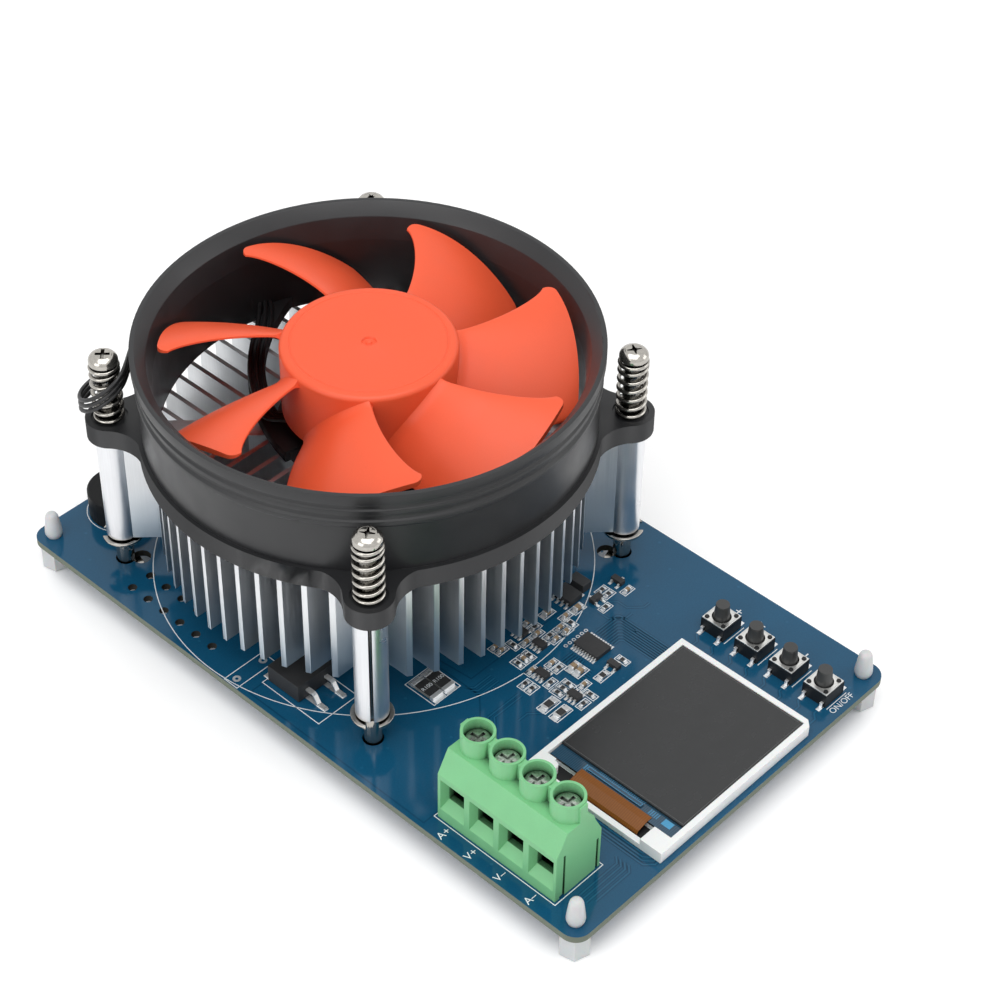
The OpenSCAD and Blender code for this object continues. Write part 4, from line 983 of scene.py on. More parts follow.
@dataclass
class Studio:
    """Camera, soft lamps, pale floor and white surroundings.

    Attributes:
        eye: Camera place in millimetres.
        heading: Look direction in degrees from Y towards X.
        dip: Look angle below level in degrees.
        roll: Lean of the frame in degrees.
        lens: Focal length in millimetres on the sensor.
        sensor: Sensor width in millimetres.
        clip: Nearest and farthest distance seen, in metres.
        fill: Strength of the surroundings as light.
        floor_side: Side of the floor in metres.
        floor_lift: Light that the floor adds for the eye alone.
        floor_reach: Distance in millimetres within which the object above takes that light away, a painted
            shadow.
        floor_open: Openness over which that light comes back.
        floor_patch: Size of the floor's pale patches in millimetres.
        floor_tones: Darkest and palest share of white on the floor.
        lamps: Soft lamps round the object.
    """

    eye: Triple = (-268.67, -259.86, 375.99)
    heading: float = 47.565
    dip: float = 42.18
    roll: float = 1.115
    lens: float = 89.725
    sensor: float = 36.0
    clip: Spot = (0.01, 50.0)
    fill: float = 0.55
    floor_side: float = 8.0
    floor_lift: float = 0.12
    floor_reach: float = 20.0
    floor_open: Spot = (0.1, 0.5)
    floor_patch: float = 300.0
    floor_tones: Spot = (0.93, 0.96)
    lamps: tuple[Lamp, ...] = (
        Lamp("overhead_softbox", (-0.15, -0.10, 0.95), (0.0, 0.0, 0.03), width=0.9, power=6.2),
        Lamp("left_softbox", (-0.95, 0.05, 0.45), (0.0, 0.0, 0.03), width=0.6, power=2.2),
        Lamp("right_softbox", (0.75, -0.75, 0.40), (0.0, 0.0, 0.03), width=0.6, power=1.6),
    )

    def build(self) -> None:
        """Set up camera, surroundings, floor and lamps."""
        self.camera()
        self.surroundings()
        self.floor()
        for lamp in self.lamps:
            lamp.light()
        bpy.context.scene.view_settings.view_transform = "Standard"

    def camera(self) -> None:
        """Place the camera."""
        turn, dip, roll = (math.radians(angle) for angle in (self.heading, self.dip, self.roll))
        ahead = Vector((math.cos(dip) * math.sin(turn), math.cos(dip) * math.cos(turn), -math.sin(dip)))
        level = Vector((math.cos(turn), -math.sin(turn), 0.0))
        right = level * math.cos(roll) + level.cross(ahead) * math.sin(roll)
        data = bpy.data.cameras.new("photo_camera")
        data.lens, data.sensor_width = self.lens, self.sensor
        data.clip_start, data.clip_end = self.clip
        camera = bpy.data.objects.new("photo_camera", data)
        axes = Matrix((right, right.cross(ahead), -ahead)).transposed().to_4x4()
        camera.matrix_world = Matrix.Translation(Vector(self.eye) * MM) @ axes
        bpy.context.scene.collection.objects.link(camera)
        bpy.context.scene.camera = camera

    def surroundings(self) -> None:
        """Make the surroundings white to the eye and softer as light."""
        world = bpy.data.worlds.new("white_surroundings")
        bpy.context.scene.world = world
        graph = NodeGraph(world, "Background")
        graph.put(Color=WHITE, Strength=graph.fit(graph.seen(), UNIT, (self.fill, 1.0)))

    def floor(self) -> None:
        """Lay the pale floor that takes the shadow, with painted shadow where the object above hides it."""
        half = self.floor_side / 2
        mesh = bpy.data.meshes.new("pale_floor")
        plan = corners((-half, -half), (half, half))
        mesh.from_pydata([(*corner, 0) for corner in plan], [], [(0, 1, 2, 3)])
        graph = NodeGraph(bpy.data.materials.new("pale_floor"))
        dull, pale = (shade(WHITE, share) for share in self.floor_tones)
        colour = graph.mix(graph.noise(self.floor_patch, detail=2.0), dull, pale)
        lift = graph.fit(graph.seen(), UNIT, (0.0, self.floor_lift))
        # Painted shadow: the floor's added light fades under and round the object above.
        clear = graph.fit(graph.crevices(self.floor_reach), self.floor_open, UNIT)
        lift = graph.calculate("MULTIPLY", lift, clear)
        graph.put(Base_Color=colour, Roughness=0.9, Specular_IOR_Level=0.1)
        graph.put(Emission_Color=WHITE, Emission_Strength=lift)
        mesh.materials.append(graph.owner)
        floor = bpy.data.objects.new("pale_floor", mesh)
        bpy.context.scene.collection.objects.link(floor)


@dataclass
class Impeller:
    """Hub with swept and twisted blades on the fan's axis.

    Attributes:
        hub_radius: Radius of the hub.
        hub_wall: Thickness of the hub's side.
        hub_roof: Thickness of the hub's top.
        hub_round: Radius of the rounding at the hub's top edge.
        hub_edge: Chamfer at the hub's lower edge.
        hub_lip: Chamfer at the lower edge of the hub's inside.
        shaft: Radius of the hole for the shaft.
        dimple: Radii and heights of the dimple in the hub's top, from the axis and the top.
        rim_line: Radii and heights of the line near the rim, from the hub's side and the top.
        tip_radius: Radius of the blade tips.
        count: Number of blades.
        thickness: Thickness of a blade.
        top_drop: Distance from the hub top down to the blades.
        low_lift: Distance from the hub's rim up to the blades.
        lead: Leading edge at root and tip in degrees.
        trail: Trailing edge at root and tip in degrees.
        sweep: Powers by which the leading and the trailing edge bend from root to tip.
        camber: Straight share of a blade's fall at the root, and how much less it is at the tip.
        crowd: Power that crowds the steps towards the tip.
        corner: Rounding of the tip corners.
        corner_share: Share of the chord that a rounding takes.
        edge_share: Share of the thickness left at both edges.
        root: Distance that a blade reaches into the hub.
        foot: Distance from the hub over which a blade swells, and how far it swells.
        clear: Least distance from a blade to the hub's top.
        probe: Share of the chord over which the slope is taken.
        span_steps: Number of steps from root to tip.
        chord_steps: Number of steps from leading to trailing edge.
    """

    hub_radius: float = 18.0
    hub_wall: float = 1.6
    hub_roof: float = 2.0
    hub_round: float = 1.1
    hub_edge: float = 0.3
    hub_lip: float = 0.2
    shaft: float = 1.55
    dimple: tuple[Spot, ...] = (
        (0.0, -0.2), (0.4, -0.22), (0.55, -0.5), (0.7, -0.6), (1.1, -0.6), (1.35, -0.5), (1.5, -0.12),
        (1.6, -0.02), (1.75, 0.0),
    )
    rim_line: tuple[Spot, ...] = ((-2.4, 0.0), (-2.3, -0.1), (-2.0, -0.1), (-1.9, 0.0))
    tip_radius: float = 42.1
    count: int = 7
    thickness: float = 1.3
    top_drop: float = 1.4
    low_lift: float = 0.4
    lead: Spot = (329.3, 342.5)
    trail: Spot = (280.5, 305.5)
    sweep: Spot = (1.15, 0.75)
    camber: Spot = (0.5, 0.25)
    crowd: float = 1.3
    corner: float = 2.2
    corner_share: float = 0.07
    edge_share: float = 0.3
    root: float = 0.8
    foot: Spot = (1.6, 0.55)
    clear: float = 0.3
    probe: float = 0.02
    span_steps: int = 36
    chord_steps: int = 30

    def __post_init__(self) -> None:
        """Read the axis and the heights from the frame."""
        self.axis = middle_of("fan_shaft")
        low, high = box_of("fan_impeller")
        self.hub_low, self.hub_top = low.z, high.z
        self.blade_top = self.hub_top - self.top_drop
        self.blade_low = self.hub_low + self.low_lift

    def build(self) -> None:
        """Build hub and blades as one piece and dress the motor inside."""
        shape = Shape()
        shape.turned(self.hub(), self.axis, steps=144)
        for blade in range(self.count):
            self.blade(shape, -blade * 360 / self.count)
        shape.piece("impeller", Finishes.coral, "impeller", ["fan_impeller"])
        dress("rotor_yoke", Finishes.tin)
        dress("rotor_magnet", Finishes.magnet)
        dress("fan_shaft", Finishes.nickel)

    def hub(self) -> list[Spot]:
        """Draw the hub cup with its rounded rim, rim line and middle dimple.

        Returns:
            Radius and height of each point of its profile.
        """
        top, low, edge, bend = self.hub_top, self.hub_low, self.hub_radius, self.hub_round
        wall, roof = edge - self.hub_wall, top - self.hub_roof
        profile = [(radius, top + rise) for radius, rise in self.dimple]
        profile += [(edge + out, top + rise) for out, rise in self.rim_line]
        turns = angles((0, 90), 9)
        profile += [(edge + bend * (math.sin(turn) - 1), top + bend * (math.cos(turn) - 1)) for turn in turns]
        profile += [(edge, low + self.hub_edge), (edge - self.hub_edge, low), (wall + self.hub_lip, low)]
        return profile + [(wall, low + self.hub_lip), (wall, roof), (self.shaft, roof)]

    def skin_point(self, span: float, chord: float, side: int) -> Vector:
        """Give a point of a blade.

        Args:
            span: Share from root to tip.
            chord: Share from leading to trailing edge.
            side: 1 for the upper skin, -1 for the lower one.

        Returns:
            The point about the axis, at its height.
        """
        inner = self.hub_radius - self.root
        from_end = min(chord, 1 - chord) / self.corner_share
        cut = self.corner * (1 - math.sqrt(1 - (1 - min(1.0, from_end)) ** 2))
        radius = inner + (self.tip_radius - cut * span**6 - inner) * span
        turn = self.turn_of(span, chord)
        run = radius * math.radians(self.turn_of(span, chord + self.probe) - turn)
        drop = self.height_of(span, chord + self.probe) - self.height_of(span, chord)
        length = math.hypot(run, drop)
        reach, swell = self.foot
        full = math.sqrt(max(0.0, 1 - (2 * chord - 1) ** 4))
        half = self.thickness / 2 * (self.edge_share + (1 - self.edge_share) * full)
        half += swell * max(0.0, 1 - (radius - self.hub_radius) / reach) ** 2
        turn = math.radians(turn) + side * half * drop / length / radius
        height = self.height_of(span, chord) - side * half * run / length
        height = min(height, self.hub_top - self.clear)
        return Vector((radius * math.cos(turn), radius * math.sin(turn), height))

    def turn_of(self, span: float, chord: float) -> float:
        """Give the turn of a blade's middle.

        Args:
            span: Share from root to tip.
            chord: Share from leading to trailing edge.

        Returns:
            The turn in degrees.
        """
        ends = zip((self.lead, self.trail), self.sweep)
        lead, trail = (root + (tip - root) * span**power for (root, tip), power in ends)
        return lead + (trail - lead) * chord

    def height_of(self, span: float, chord: float) -> float:
        """Give the height of a blade's middle at a share of span and chord."""
        flat = self.camber[0] - self.camber[1] * span
        return self.blade_top - (self.blade_top - self.blade_low) * (flat * chord + (1 - flat) * chord**2)

    def blade(self, shape: Shape, turn: float) -> None:
        """Add one blade.

        Args:
            shape: Shape that gets the blade.
            turn: Turn of the blade in degrees.
        """
        place = Matrix.Translation((*self.axis, 0.0)) @ Matrix.Rotation(math.radians(turn), 4, "Z")
        steps = self.chord_steps
        chords = [(1 - math.cos(math.pi * step / steps)) / 2 for step in range(steps + 1)]
        rows = []
        for step in range(self.span_steps + 1):
            span = 1 - (1 - step / self.span_steps) ** self.crowd
            upper = [self.skin_point(span, chord, 1) for chord in chords]
            lower = [self.skin_point(span, chord, -1) for chord in reversed(chords)]
            rows.append([place @ point for point in upper + lower])
        shape.skin(rows, around=True)
        count = len(chords)
        for row in (rows[0], rows[-1]):
            shape.skin([row[:count], list(reversed(row[count:]))])


@dataclass
class Cooler:
    """Heatsink, fan frame, sprung screws and fan motor.

    Attributes:
        spring_width: Outer width of a spring.
        wire: Width of the spring wire.
        turns: Number of turns of a spring.
        flat_turns: Closed turns at each end of a spring.
        turn_steps: Number of steps in a turn.
        ring: Outer radius of the fan ring.
        bore: Inner radius of the fan ring.
        flange: Thickness of the ring's flange.
        mouth: Widenings and drops of the ring's mouth, from its bore and its top.
        side: Insets and drops of the ring's outside, from its radius and its top.
        outer_hem: Insets and drops of the ring's lower outer edge, from its wall and the flange.
        inner_hem: Widenings and heights of its lower inner edge, from its bore and its foot.
        ring_round: Rounding of the ring's corners.
        skin: Thickness of a skin over its solid.
        post: Radius of a screw post.
        post_wall: Thickness of the post's wall.
        post_lift: Distance from the retaining clips up to the posts.
        slit: Width of the slit along a post.
        head: Radius of a screw head.
        dome: Radii and heights of a head's side, from its radius and its seat.
        cross: Length and width of the arms of a head's recess.
        recess: Depth of that recess.
        cross_turns: Turn of the first recess in degrees, and the turn from each to the next.
        impeller: Impeller in the ring.
    """

    spring_width: float = 6.5
    wire: float = 0.9
    turns: float = 7.0
    flat_turns: float = 0.8
    turn_steps: int = 40
    ring: float = 47.4
    bore: float = 43.4
    flange: float = 4.6
    mouth: tuple[Spot, ...] = ((0.0, 8.0), (0.9, 2.6), (3.12, 0.0))
    side: tuple[Spot, ...] = (
        (0.0, 0.0), (0.0, 2.4), (0.8, 2.8), (0.8, 3.9), (0.4, 4.2), (0.4, 5.2), (0.9, 5.6), (0.9, 6.6),
        (0.4, 7.0), (0.4, 8.0), (0.9, 8.5),
    )
    outer_hem: tuple[Spot, Spot] = ((0.0, 0.0), (0.6, 0.4))
    inner_hem: tuple[Spot, Spot] = ((0.6, 1.6), (0.0, 1.3))
    ring_round: float = 0.16
    skin: float = 0.02
    post: float = 3.4
    post_wall: float = 0.7
    post_lift: float = 0.5
    slit: float = 0.75
    head: float = 3.0
    dome: tuple[Spot, ...] = (
        (-3.0, 0.3), (-0.1, 0.1), (0.03, 0.25), (0.03, 0.9), (-0.1, 1.3), (-0.4, 1.7), (-0.85, 2.02),
        (-1.2, 2.15), (-1.4, 2.2),
    )
    cross: Spot = (3.0, 0.75)
    recess: float = 0.7
    cross_turns: Spot = (25.0, 20.0)
    impeller: Impeller = field(default_factory=Impeller)

    def build(self) -> None:
        """Dress the cooler and build its springs."""
        dress("heatsink", Finishes.aluminium, soften=0.12)
        dress("fan_frame", Finishes.charcoal, soften=0.22)
        dress("mounting_screws", Finishes.nickel, soften=0.08)
        dress("retaining_clips", Finishes.nickel, soften=0.08)
        dress("mounting_nuts", Finishes.nickel, soften=0.12)
        dress("thermal_pad", Finishes.pad, soften=0.05)
        self.axis = Vector(middle_of("fan_shaft"))
        self.screws = [((start.xy + end.xy) / 2, end.z) for start, end in bodies_of("mounting_screws")]
        self.posts()
        self.heads()
        self.fan_ring()
        self.springs()
        self.motor()
        self.impeller.build()

    def posts(self) -> None:
        """Set a narrow slit and a drawn skin on the screw posts."""
        foot = box_of("retaining_clips")[1].z + self.post_lift - self.skin
        heights = (foot, box_of("heatsink")[1].z)
        radii = (self.post - self.post_wall, self.post + self.skin)
        half = math.degrees(self.slit / 2 / self.post)
        shape = Shape()
        for middle, _ in self.screws:
            away = middle - self.axis
            out = math.degrees(math.atan2(away.y, away.x))
            shape.sleeve(middle, radii, heights, (out + half, out + 360 - half))
        shape.piece("post_skins", Finishes.drawn)

    def heads(self) -> None:
        """Build domed screw heads with cross recesses."""
        shape = Shape()
        (last, rise), (first, more) = self.dome[-1], self.cross_turns
        for step, (middle, tip) in enumerate(self.screws):
            top = tip + self.skin
            shape.turned([(self.head + out, top - rise + up) for out, up in self.dome], middle, steps=48)
            heights = (top, top - self.recess)
            shape.recessed(middle, self.head + last, self.cross, heights, turn=first + more * step)
        shape.piece("screw_heads", Finishes.nickel)

    def fan_ring(self) -> None:
        """Turn the ring's wall with its ribs and its chamfered mouth."""
        low, high = box_of("fan_frame")
        foot, top, deck = low.z, high.z + self.skin, low.z + self.flange
        bore, ring = self.bore - self.skin, self.ring + self.skin
        wall = ring - self.side[-1][0]
        last, first = ((bore + out, foot + rise) for out, rise in self.inner_hem)
        profile = [first, *((bore + out, top - drop) for out, drop in self.mouth)]
        profile += [(ring - inset, top - drop) for inset, drop in self.side]
        profile += [*((wall - inset, deck - drop) for inset, drop in self.outer_hem), last]
        shape = Shape()
        shape.turned(rounded(profile, self.ring_round), self.axis, steps=240, closed=True)
        shape.piece("fan_ring", Finishes.charcoal)

    def springs(self) -> None:
        """Wind the springs between the ears and the screw heads."""
        low, high = box_of("mounting_springs")
        half, radius = self.wire / 2, (self.spring_width - self.wire) / 2
        steps = int(self.turns * self.turn_steps)
        coil = []
        for step in range(steps + 1):
            turn = self.turns * step / steps
            free = (turn - self.flat_turns) / (self.turns - 2 * self.flat_turns)
            lift = min(1.0, turn / self.flat_turns) - 1 + max(0.0, (turn - self.turns) / self.flat_turns + 1)
            rise = (high.z - low.z - 2 * self.wire) * min(1.0, max(0.0, free))
            coil.append(((turn * 2 * math.pi,), low.z + self.wire + rise + half * lift))
        shape = Shape()
        for middle, _ in self.screws:
            shape.tube([circle(middle, radius, height, turn)[0] for turn, height in coil], half)
        shape.piece("springs", Finishes.nickel, "base", ["mounting_springs"], Shading.ROUND)

    def motor(self) -> None:
        """Dress the motor's fixed parts and the lead."""
        dress("fan_bearing", Finishes.bronze)
        dress("stator_core", Finishes.tin)
        dress("stator_coils", Finishes.copper)
        dress("fan_circuit_board", Finishes.motor_board)
        dress("fan_lead", Finishes.jacket)
        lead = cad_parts["fan_lead"]
        weld(lead)
        smooth = lead.modifiers.new("round_jackets", "SUBSURF")
        smooth.levels = smooth.render_levels = 2


@dataclass(frozen=True)
class Bundle:
    """Traces that run side by side.

    Attributes:
        path: Points of the first trace.
        step: How far each point moves from one trace to the next.
        count: Number of traces.
    """

    path: tuple[Spot, ...]
    step: tuple[Spot, ...] = ()
    count: int = 1

    def traces(self) -> list[list[Spot]]:
        """Give the points of each trace."""
        pairs = list(zip(self.path, self.step or ((0.0, 0.0),) * len(self.path)))
        return [[(x + a * n, y + b * n) for (x, y), (a, b) in pairs] for n in range(self.count)]


@dataclass
class Board:
    """Circuit board with its printed layers.

    Attributes:
        ring_radius: Radius of the printed circle round the cooler.
        ring_width: Width of that circle's line.
        buzzer_radius: Radius of the printed circle round the buzzer.
        ink_width: Width of a printed line.
        trace_width: Width of a thin trace.
        clear_width: Width of the bare gap on both sides of a trace.
        area_width: Width of the bare gap round a copper area.
        via: Radius of a covered hole through the copper.
        via_grid: Places along X and Y at which such holes may lie.
        button_rows: Middles of the push buttons along the board.
        button_line: Both ends of the printed line under a button, along X, and its distance from the middle.
        boxes: Printed rectangles that stand by themselves.
        block_margin: Distance from the terminal block to its printed outline.
        margin: Distance from a chip to its printed outline, along the chip and across it.
        eyelets: Tinned rings with their place, radius, width and number of steps.
        shunt_pad: How far a shunt's pad stands out at both ends, and its length.
        pad_share: Share of a chip's length that its pad stands out.
        pad_overlap: Share of that distance that the pad reaches under the chip.
        pad_edge: Distance that a pad stands out at its sides.
        lead_edge: Distance that a pad stands out round a lead.
        foot_start: Angle of a corner of a six-sided foot in degrees from X.
        foot_radius: Distance from a foot's middle to its corners.
        foot_low: Widenings and heights of a foot's lower edge, from its radius and the ground.
        foot_high: Widenings and heights of its upper edge, from its radius and the board's underside.
        peg_drop: How far a snap peg ends below the top of its solid.
        peg_sink: Distance that a snap peg reaches into its foot.
        neck: Radii and heights of a peg's lower part, from the board's top.
        tip: Radii and heights of a peg's upper part, from its end.
        cone: Radii and heights of a solder joint, from the board's underside.
        marks: Printed words with their size and place.
        bundles: Thin traces.
        areas: Outlines of the copper areas.
    """

    ring_radius: float = 47.2
    ring_width: float = 0.2
    buzzer_radius: float = 7.5
    ink_width: float = 0.19
    trace_width: float = 0.32
    clear_width: float = 0.24
    area_width: float = 0.34
    via: float = 0.16
    via_grid: tuple[range, range] = (range(-45, 46, 6), range(-76, 78, 7))
    button_rows: tuple[float, ...] = (-46.1, -55.0, -63.9, -72.8)
    button_line: Triple = (30.9, 37.4, -3.5)
    boxes: tuple[tuple[Spot, Spot], ...] = (
        ((-47.5, 13.5), (-37.0, 17.3)), ((-42.8, -5.5), (-32.0, 11.0)), ((-23.2, -18.6), (-15.6, -10.3)),
    )
    block_margin: float = 0.5
    margin: Spot = (0.75, 0.4)
    eyelets: tuple[tuple[float, float, float, float, int], ...] = (
        *((7.7 + 1.25 * step, -26.4, 0.35, 0.24, 20) for step in range(6)),
        (-45.7, 15.5, 0.62, 0.55, 24),
        (-38.5, 15.5, 0.62, 0.55, 24),
    )
    shunt_pad: Triple = (0.75, 0.85, 1.6)
    pad_share: float = 0.3
    pad_overlap: float = 0.6
    pad_edge: float = 0.05
    lead_edge: float = 0.12
    foot_start: float = 42.4
    foot_radius: float = 3.3
    foot_low: tuple[Spot, ...] = ((-0.4, 0.0), (0.0, 0.25))
    foot_high: tuple[Spot, ...] = ((0.0, -0.2), (-0.2, 0.0))
    peg_drop: float = 0.8
    peg_sink: float = 0.1
    neck: tuple[Spot, ...] = ((1.5, 0.0), (1.58, 0.05), (1.86, 0.75), (1.9, 1.2), (1.8, 2.4))
    tip: tuple[Spot, ...] = (
        (1.45, -1.2), (1.33, -0.8), (1.13, -0.42), (0.82, -0.14), (0.42, -0.02), (0.0, 0.0),
    )
    cone: tuple[Spot, ...] = (
        (0.0, -0.95), (0.4, -0.93), (0.52, -0.7), (0.7, -0.3), (1.0, -0.1), (1.25, -0.02),
    )
    marks: tuple[tuple[str, float, float, float], ...] = (
        ("A+", 1.7, -45.9, -43.3), ("V+", 1.7, -46.0, -50.6), ("V–", 1.7, -46.0, -58.2),
        ("A–", 1.7, -46.0, -66.0), ("+", 2.2, 40.4, -46.0), ("SET", 1.7, 39.5, -52.0),
        ("-", 2.4, 40.3, -63.7), ("ON/OFF", 1.4, 34.4, -77.45),
    )
    bundles: tuple[Bundle, ...] = (
        Bundle(
            ((14.9, -33.3), (16.6, -33.3), (17.2, -33.9), (17.2, -43.4)),
            ((0.0, 0.65), (0.62, 0.65), (0.62, 0.65), (0.62, 0.0)), 9,
        ),
        Bundle(
            ((7.2, -31.9), (6.5, -31.9), (6.0, -32.4), (6.0, -35.2)),
            ((0.0, 0.65), (-0.7, 0.65), (-0.7, 0.65), (-0.7, -0.3)), 6,
        ),
        Bundle(((30.2, -43.85), (28.9, -43.85), (27.7, -45.05), (24.6, -45.05)), ((0.0, -8.9),) * 4, 4),
        Bundle(((30.2, -48.35), (28.4, -48.35), (27.2, -49.55), (24.6, -49.55)), ((0.0, -8.9),) * 4, 4),
        Bundle(
            ((-31.0, -50.8), (-28.4, -50.8), (-27.6, -50.0), (-27.6, -38.2), (-18.0, -28.6)),
            ((0.0, -7.6), (0.9, -7.6), (0.9, -7.6), (0.9, -0.9), (0.9, -0.9)), 2,
        ),
        Bundle(((-18.0, -28.6), (-9.0, -28.6)), ((0.9, -0.9), (0.0, -0.9)), 2),
        Bundle(
            ((-25.2, -44.5), (-25.2, -75.8), (-23.6, -77.4), (-8.5, -77.4)),
            ((0.7, 0.0), (0.7, 0.7), (0.5, 0.7), (0.0, 0.7)), 4,
        ),
        Bundle(
            ((-42.2, -72.0), (-28.4, -72.0), (-27.2, -70.8)),
            ((1.4, -1.05), (0.0, -1.05), (0.0, -1.05)), 4,
        ),
        Bundle(((-9.2, -21.0), (-14.0, -21.0), (-15.2, -19.9)), ((0.0, -1.1),) * 3, 3),
        Bundle(((-33.5, 6.0), (-29.0, 6.0), (-26.4, 3.4), (-26.4, -8.4))),
        Bundle(((23.4, -24.0), (25.0, -25.6), (25.0, -28.0), (27.6, -30.6), (29.4, -30.6))),
        Bundle(((19.8, -24.6), (19.8, -27.4), (22.4, -30.0), (24.4, -30.0))),
        Bundle(((-14.4, -33.6), (-11.8, -33.6), (-9.6, -35.8))),
    )
    areas: tuple[tuple[Spot, ...], ...] = (
        ((-46.6, -38.6), (-30.2, -38.6), (-14.8, -23.2), (-14.8, -4.0), (-29.6, 10.8), (-46.6, 10.8)),
        (
            (-12.6, -18.8), (20.0, -18.8), (36.5, -2.3), (46.2, -2.3), (46.2, 77.6), (-20.0, 77.6),
            (-20.0, 60.0),
        ),
    )

    def __post_init__(self) -> None:
        """Read the board's two sides from the frame."""
        low, high = box_of("circuit_board")
        self.underside, self.top = low.z, high.z

    def level(self, layer: Layer) -> float:
        """Give the height of a printed layer."""
        return self.top + layer.value

    def build(self) -> None:
        """Dress the board and print its layers."""
        dress("circuit_board", Finishes.mask)
        self.feet()
        self.traces()
        self.legend()
        self.pads()
        self.joints()

    def traces(self) -> None:
        """Print the bare gaps, the traces in them, covered holes and the edges of the copper areas."""
        gaps, copper = Shape(), Shape()
        low, high = self.level(Layer.GAP), self.level(Layer.TRACE)
        for path in (path for bundle in self.bundles for path in bundle.traces()):
            gaps.line(path, self.trace_width + 2 * self.clear_width, low)
            copper.line(path, self.trace_width, high)
        for area in self.areas:
            gaps.line(area, self.area_width, low, closed=True)
        for x, y in ((x, y) for x in self.via_grid[0] for y in self.via_grid[1]):
            # The remainder scatters the holes without a random draw
            shift = (x * 13 + y * 7) % 5
            if shift in (0, 3):
                copper.ring((x + 0.4 * shift, y), self.via, 2 * self.via, high, steps=12)
        gaps.printed("bare_gaps", Finishes.gap)
        copper.printed("traces", Finishes.trace)

    def legend(self) -> None:
        """Print the white outlines and marks."""
        ink, width, height = Shape(), self.ink_width, self.level(Layer.INK)
        ink.ring(middle_of("fan_shaft"), self.ring_radius, self.ring_width, height, steps=180)
        ink.ring(middle_of("buzzer"), self.buzzer_radius, width, height, steps=64)
        (low, high), edge = box_of("terminal_housing"), self.block_margin
        boxes = [*self.boxes, ((low.x - edge, low.y - edge), (high.x + edge, high.y + edge))]
        for low, high in (body for node in CHIPS for body in bodies_of(node)):
            along = long_axis(low, high)
            margin = Vector((self.margin[along], self.margin[1 - along]))
            boxes.append((low.xy - margin, high.xy + margin))
        for low, high in boxes:
            ink.outline(low, high, width, height)
        start, end, away = self.button_line
        for y in self.button_rows:
            ink.line([(start, y + away), (end, y + away)], width, height)
        for text, size, x, y in self.marks:
            ink.words(text, size, (x, y), height)
        ink.printed("legend", Finishes.ink)

    def pads(self) -> None:
        """Print the tinned pads."""
        tinned, height = Shape(), self.level(Layer.PAD)
        for x, y, radius, width, steps in self.eyelets:
            tinned.ring((x, y), radius, width, height, steps)
        edge, round_lead = (Vector((away, away)) for away in (self.pad_edge, self.lead_edge))
        first, last, length = self.shunt_pad
        for start, end in shunts():
            for low in (start.y - first, end.y - last):
                tinned.plate((start.x - edge.x, low), (end.x + edge.x, low + length), height)
        for start, end in (body for node in CHIPS for body in bodies_of(node)):
            along = long_axis(start, end)
            span = (end[along] - start[along]) * self.pad_share
            for near in (start[along] - span, end[along] - span * self.pad_overlap):
                low, high = start.xy - edge, end.xy + edge
                low[along], high[along] = near, near + span * (1 + self.pad_overlap)
                tinned.plate(low, high, height)
        for node in ("circuit_leads", "switch_legs", "edge_transistor_leads"):
            for start, end in bodies_of(node):
                tinned.plate(start.xy - round_lead, end.xy + round_lead, height)
        tinned.printed("tinned_pads", Finishes.solder)

    def feet(self) -> None:
        """Build the six-sided feet with their snap pegs."""
        shape, radius, top = Shape(), self.foot_radius, self.underside
        hexagon = [(0.0, 0.0), *((radius + out, rise) for out, rise in self.foot_low)]
        hexagon += [*((radius + out, top + rise) for out, rise in self.foot_high), (0.0, top)]
        neck = [(reach, self.top + rise) for reach, rise in self.neck]
        neck.insert(0, (neck[0][0], top - self.peg_sink))
        for low, high in bodies_of("board_feet"):
            middle = (low.xy + high.xy) / 2
            tip = [(reach, high.z - self.peg_drop + rise) for reach, rise in self.tip]
            shape.turned(hexagon, middle, steps=6, start=self.foot_start)
            shape.turned([*neck, *tip], middle, steps=40)
        shape.piece("snap_feet", Finishes.nylon, stands_for=["board_feet"])

    def joints(self) -> None:
        """Set solder cones round the pins under the board."""
        shape, level = Shape(), self.underside
        profile = [(radius, level + rise) for radius, rise in self.cone]
        for node in ("terminal_contacts", "supply_jack_contacts", "fan_header_pins", "load_transistor_leads"):
            for spot in pins_under(node, level):
                shape.turned(profile, spot, steps=24)
        shape.piece("solder_joints", Finishes.solder, shading=Shading.ROUND)


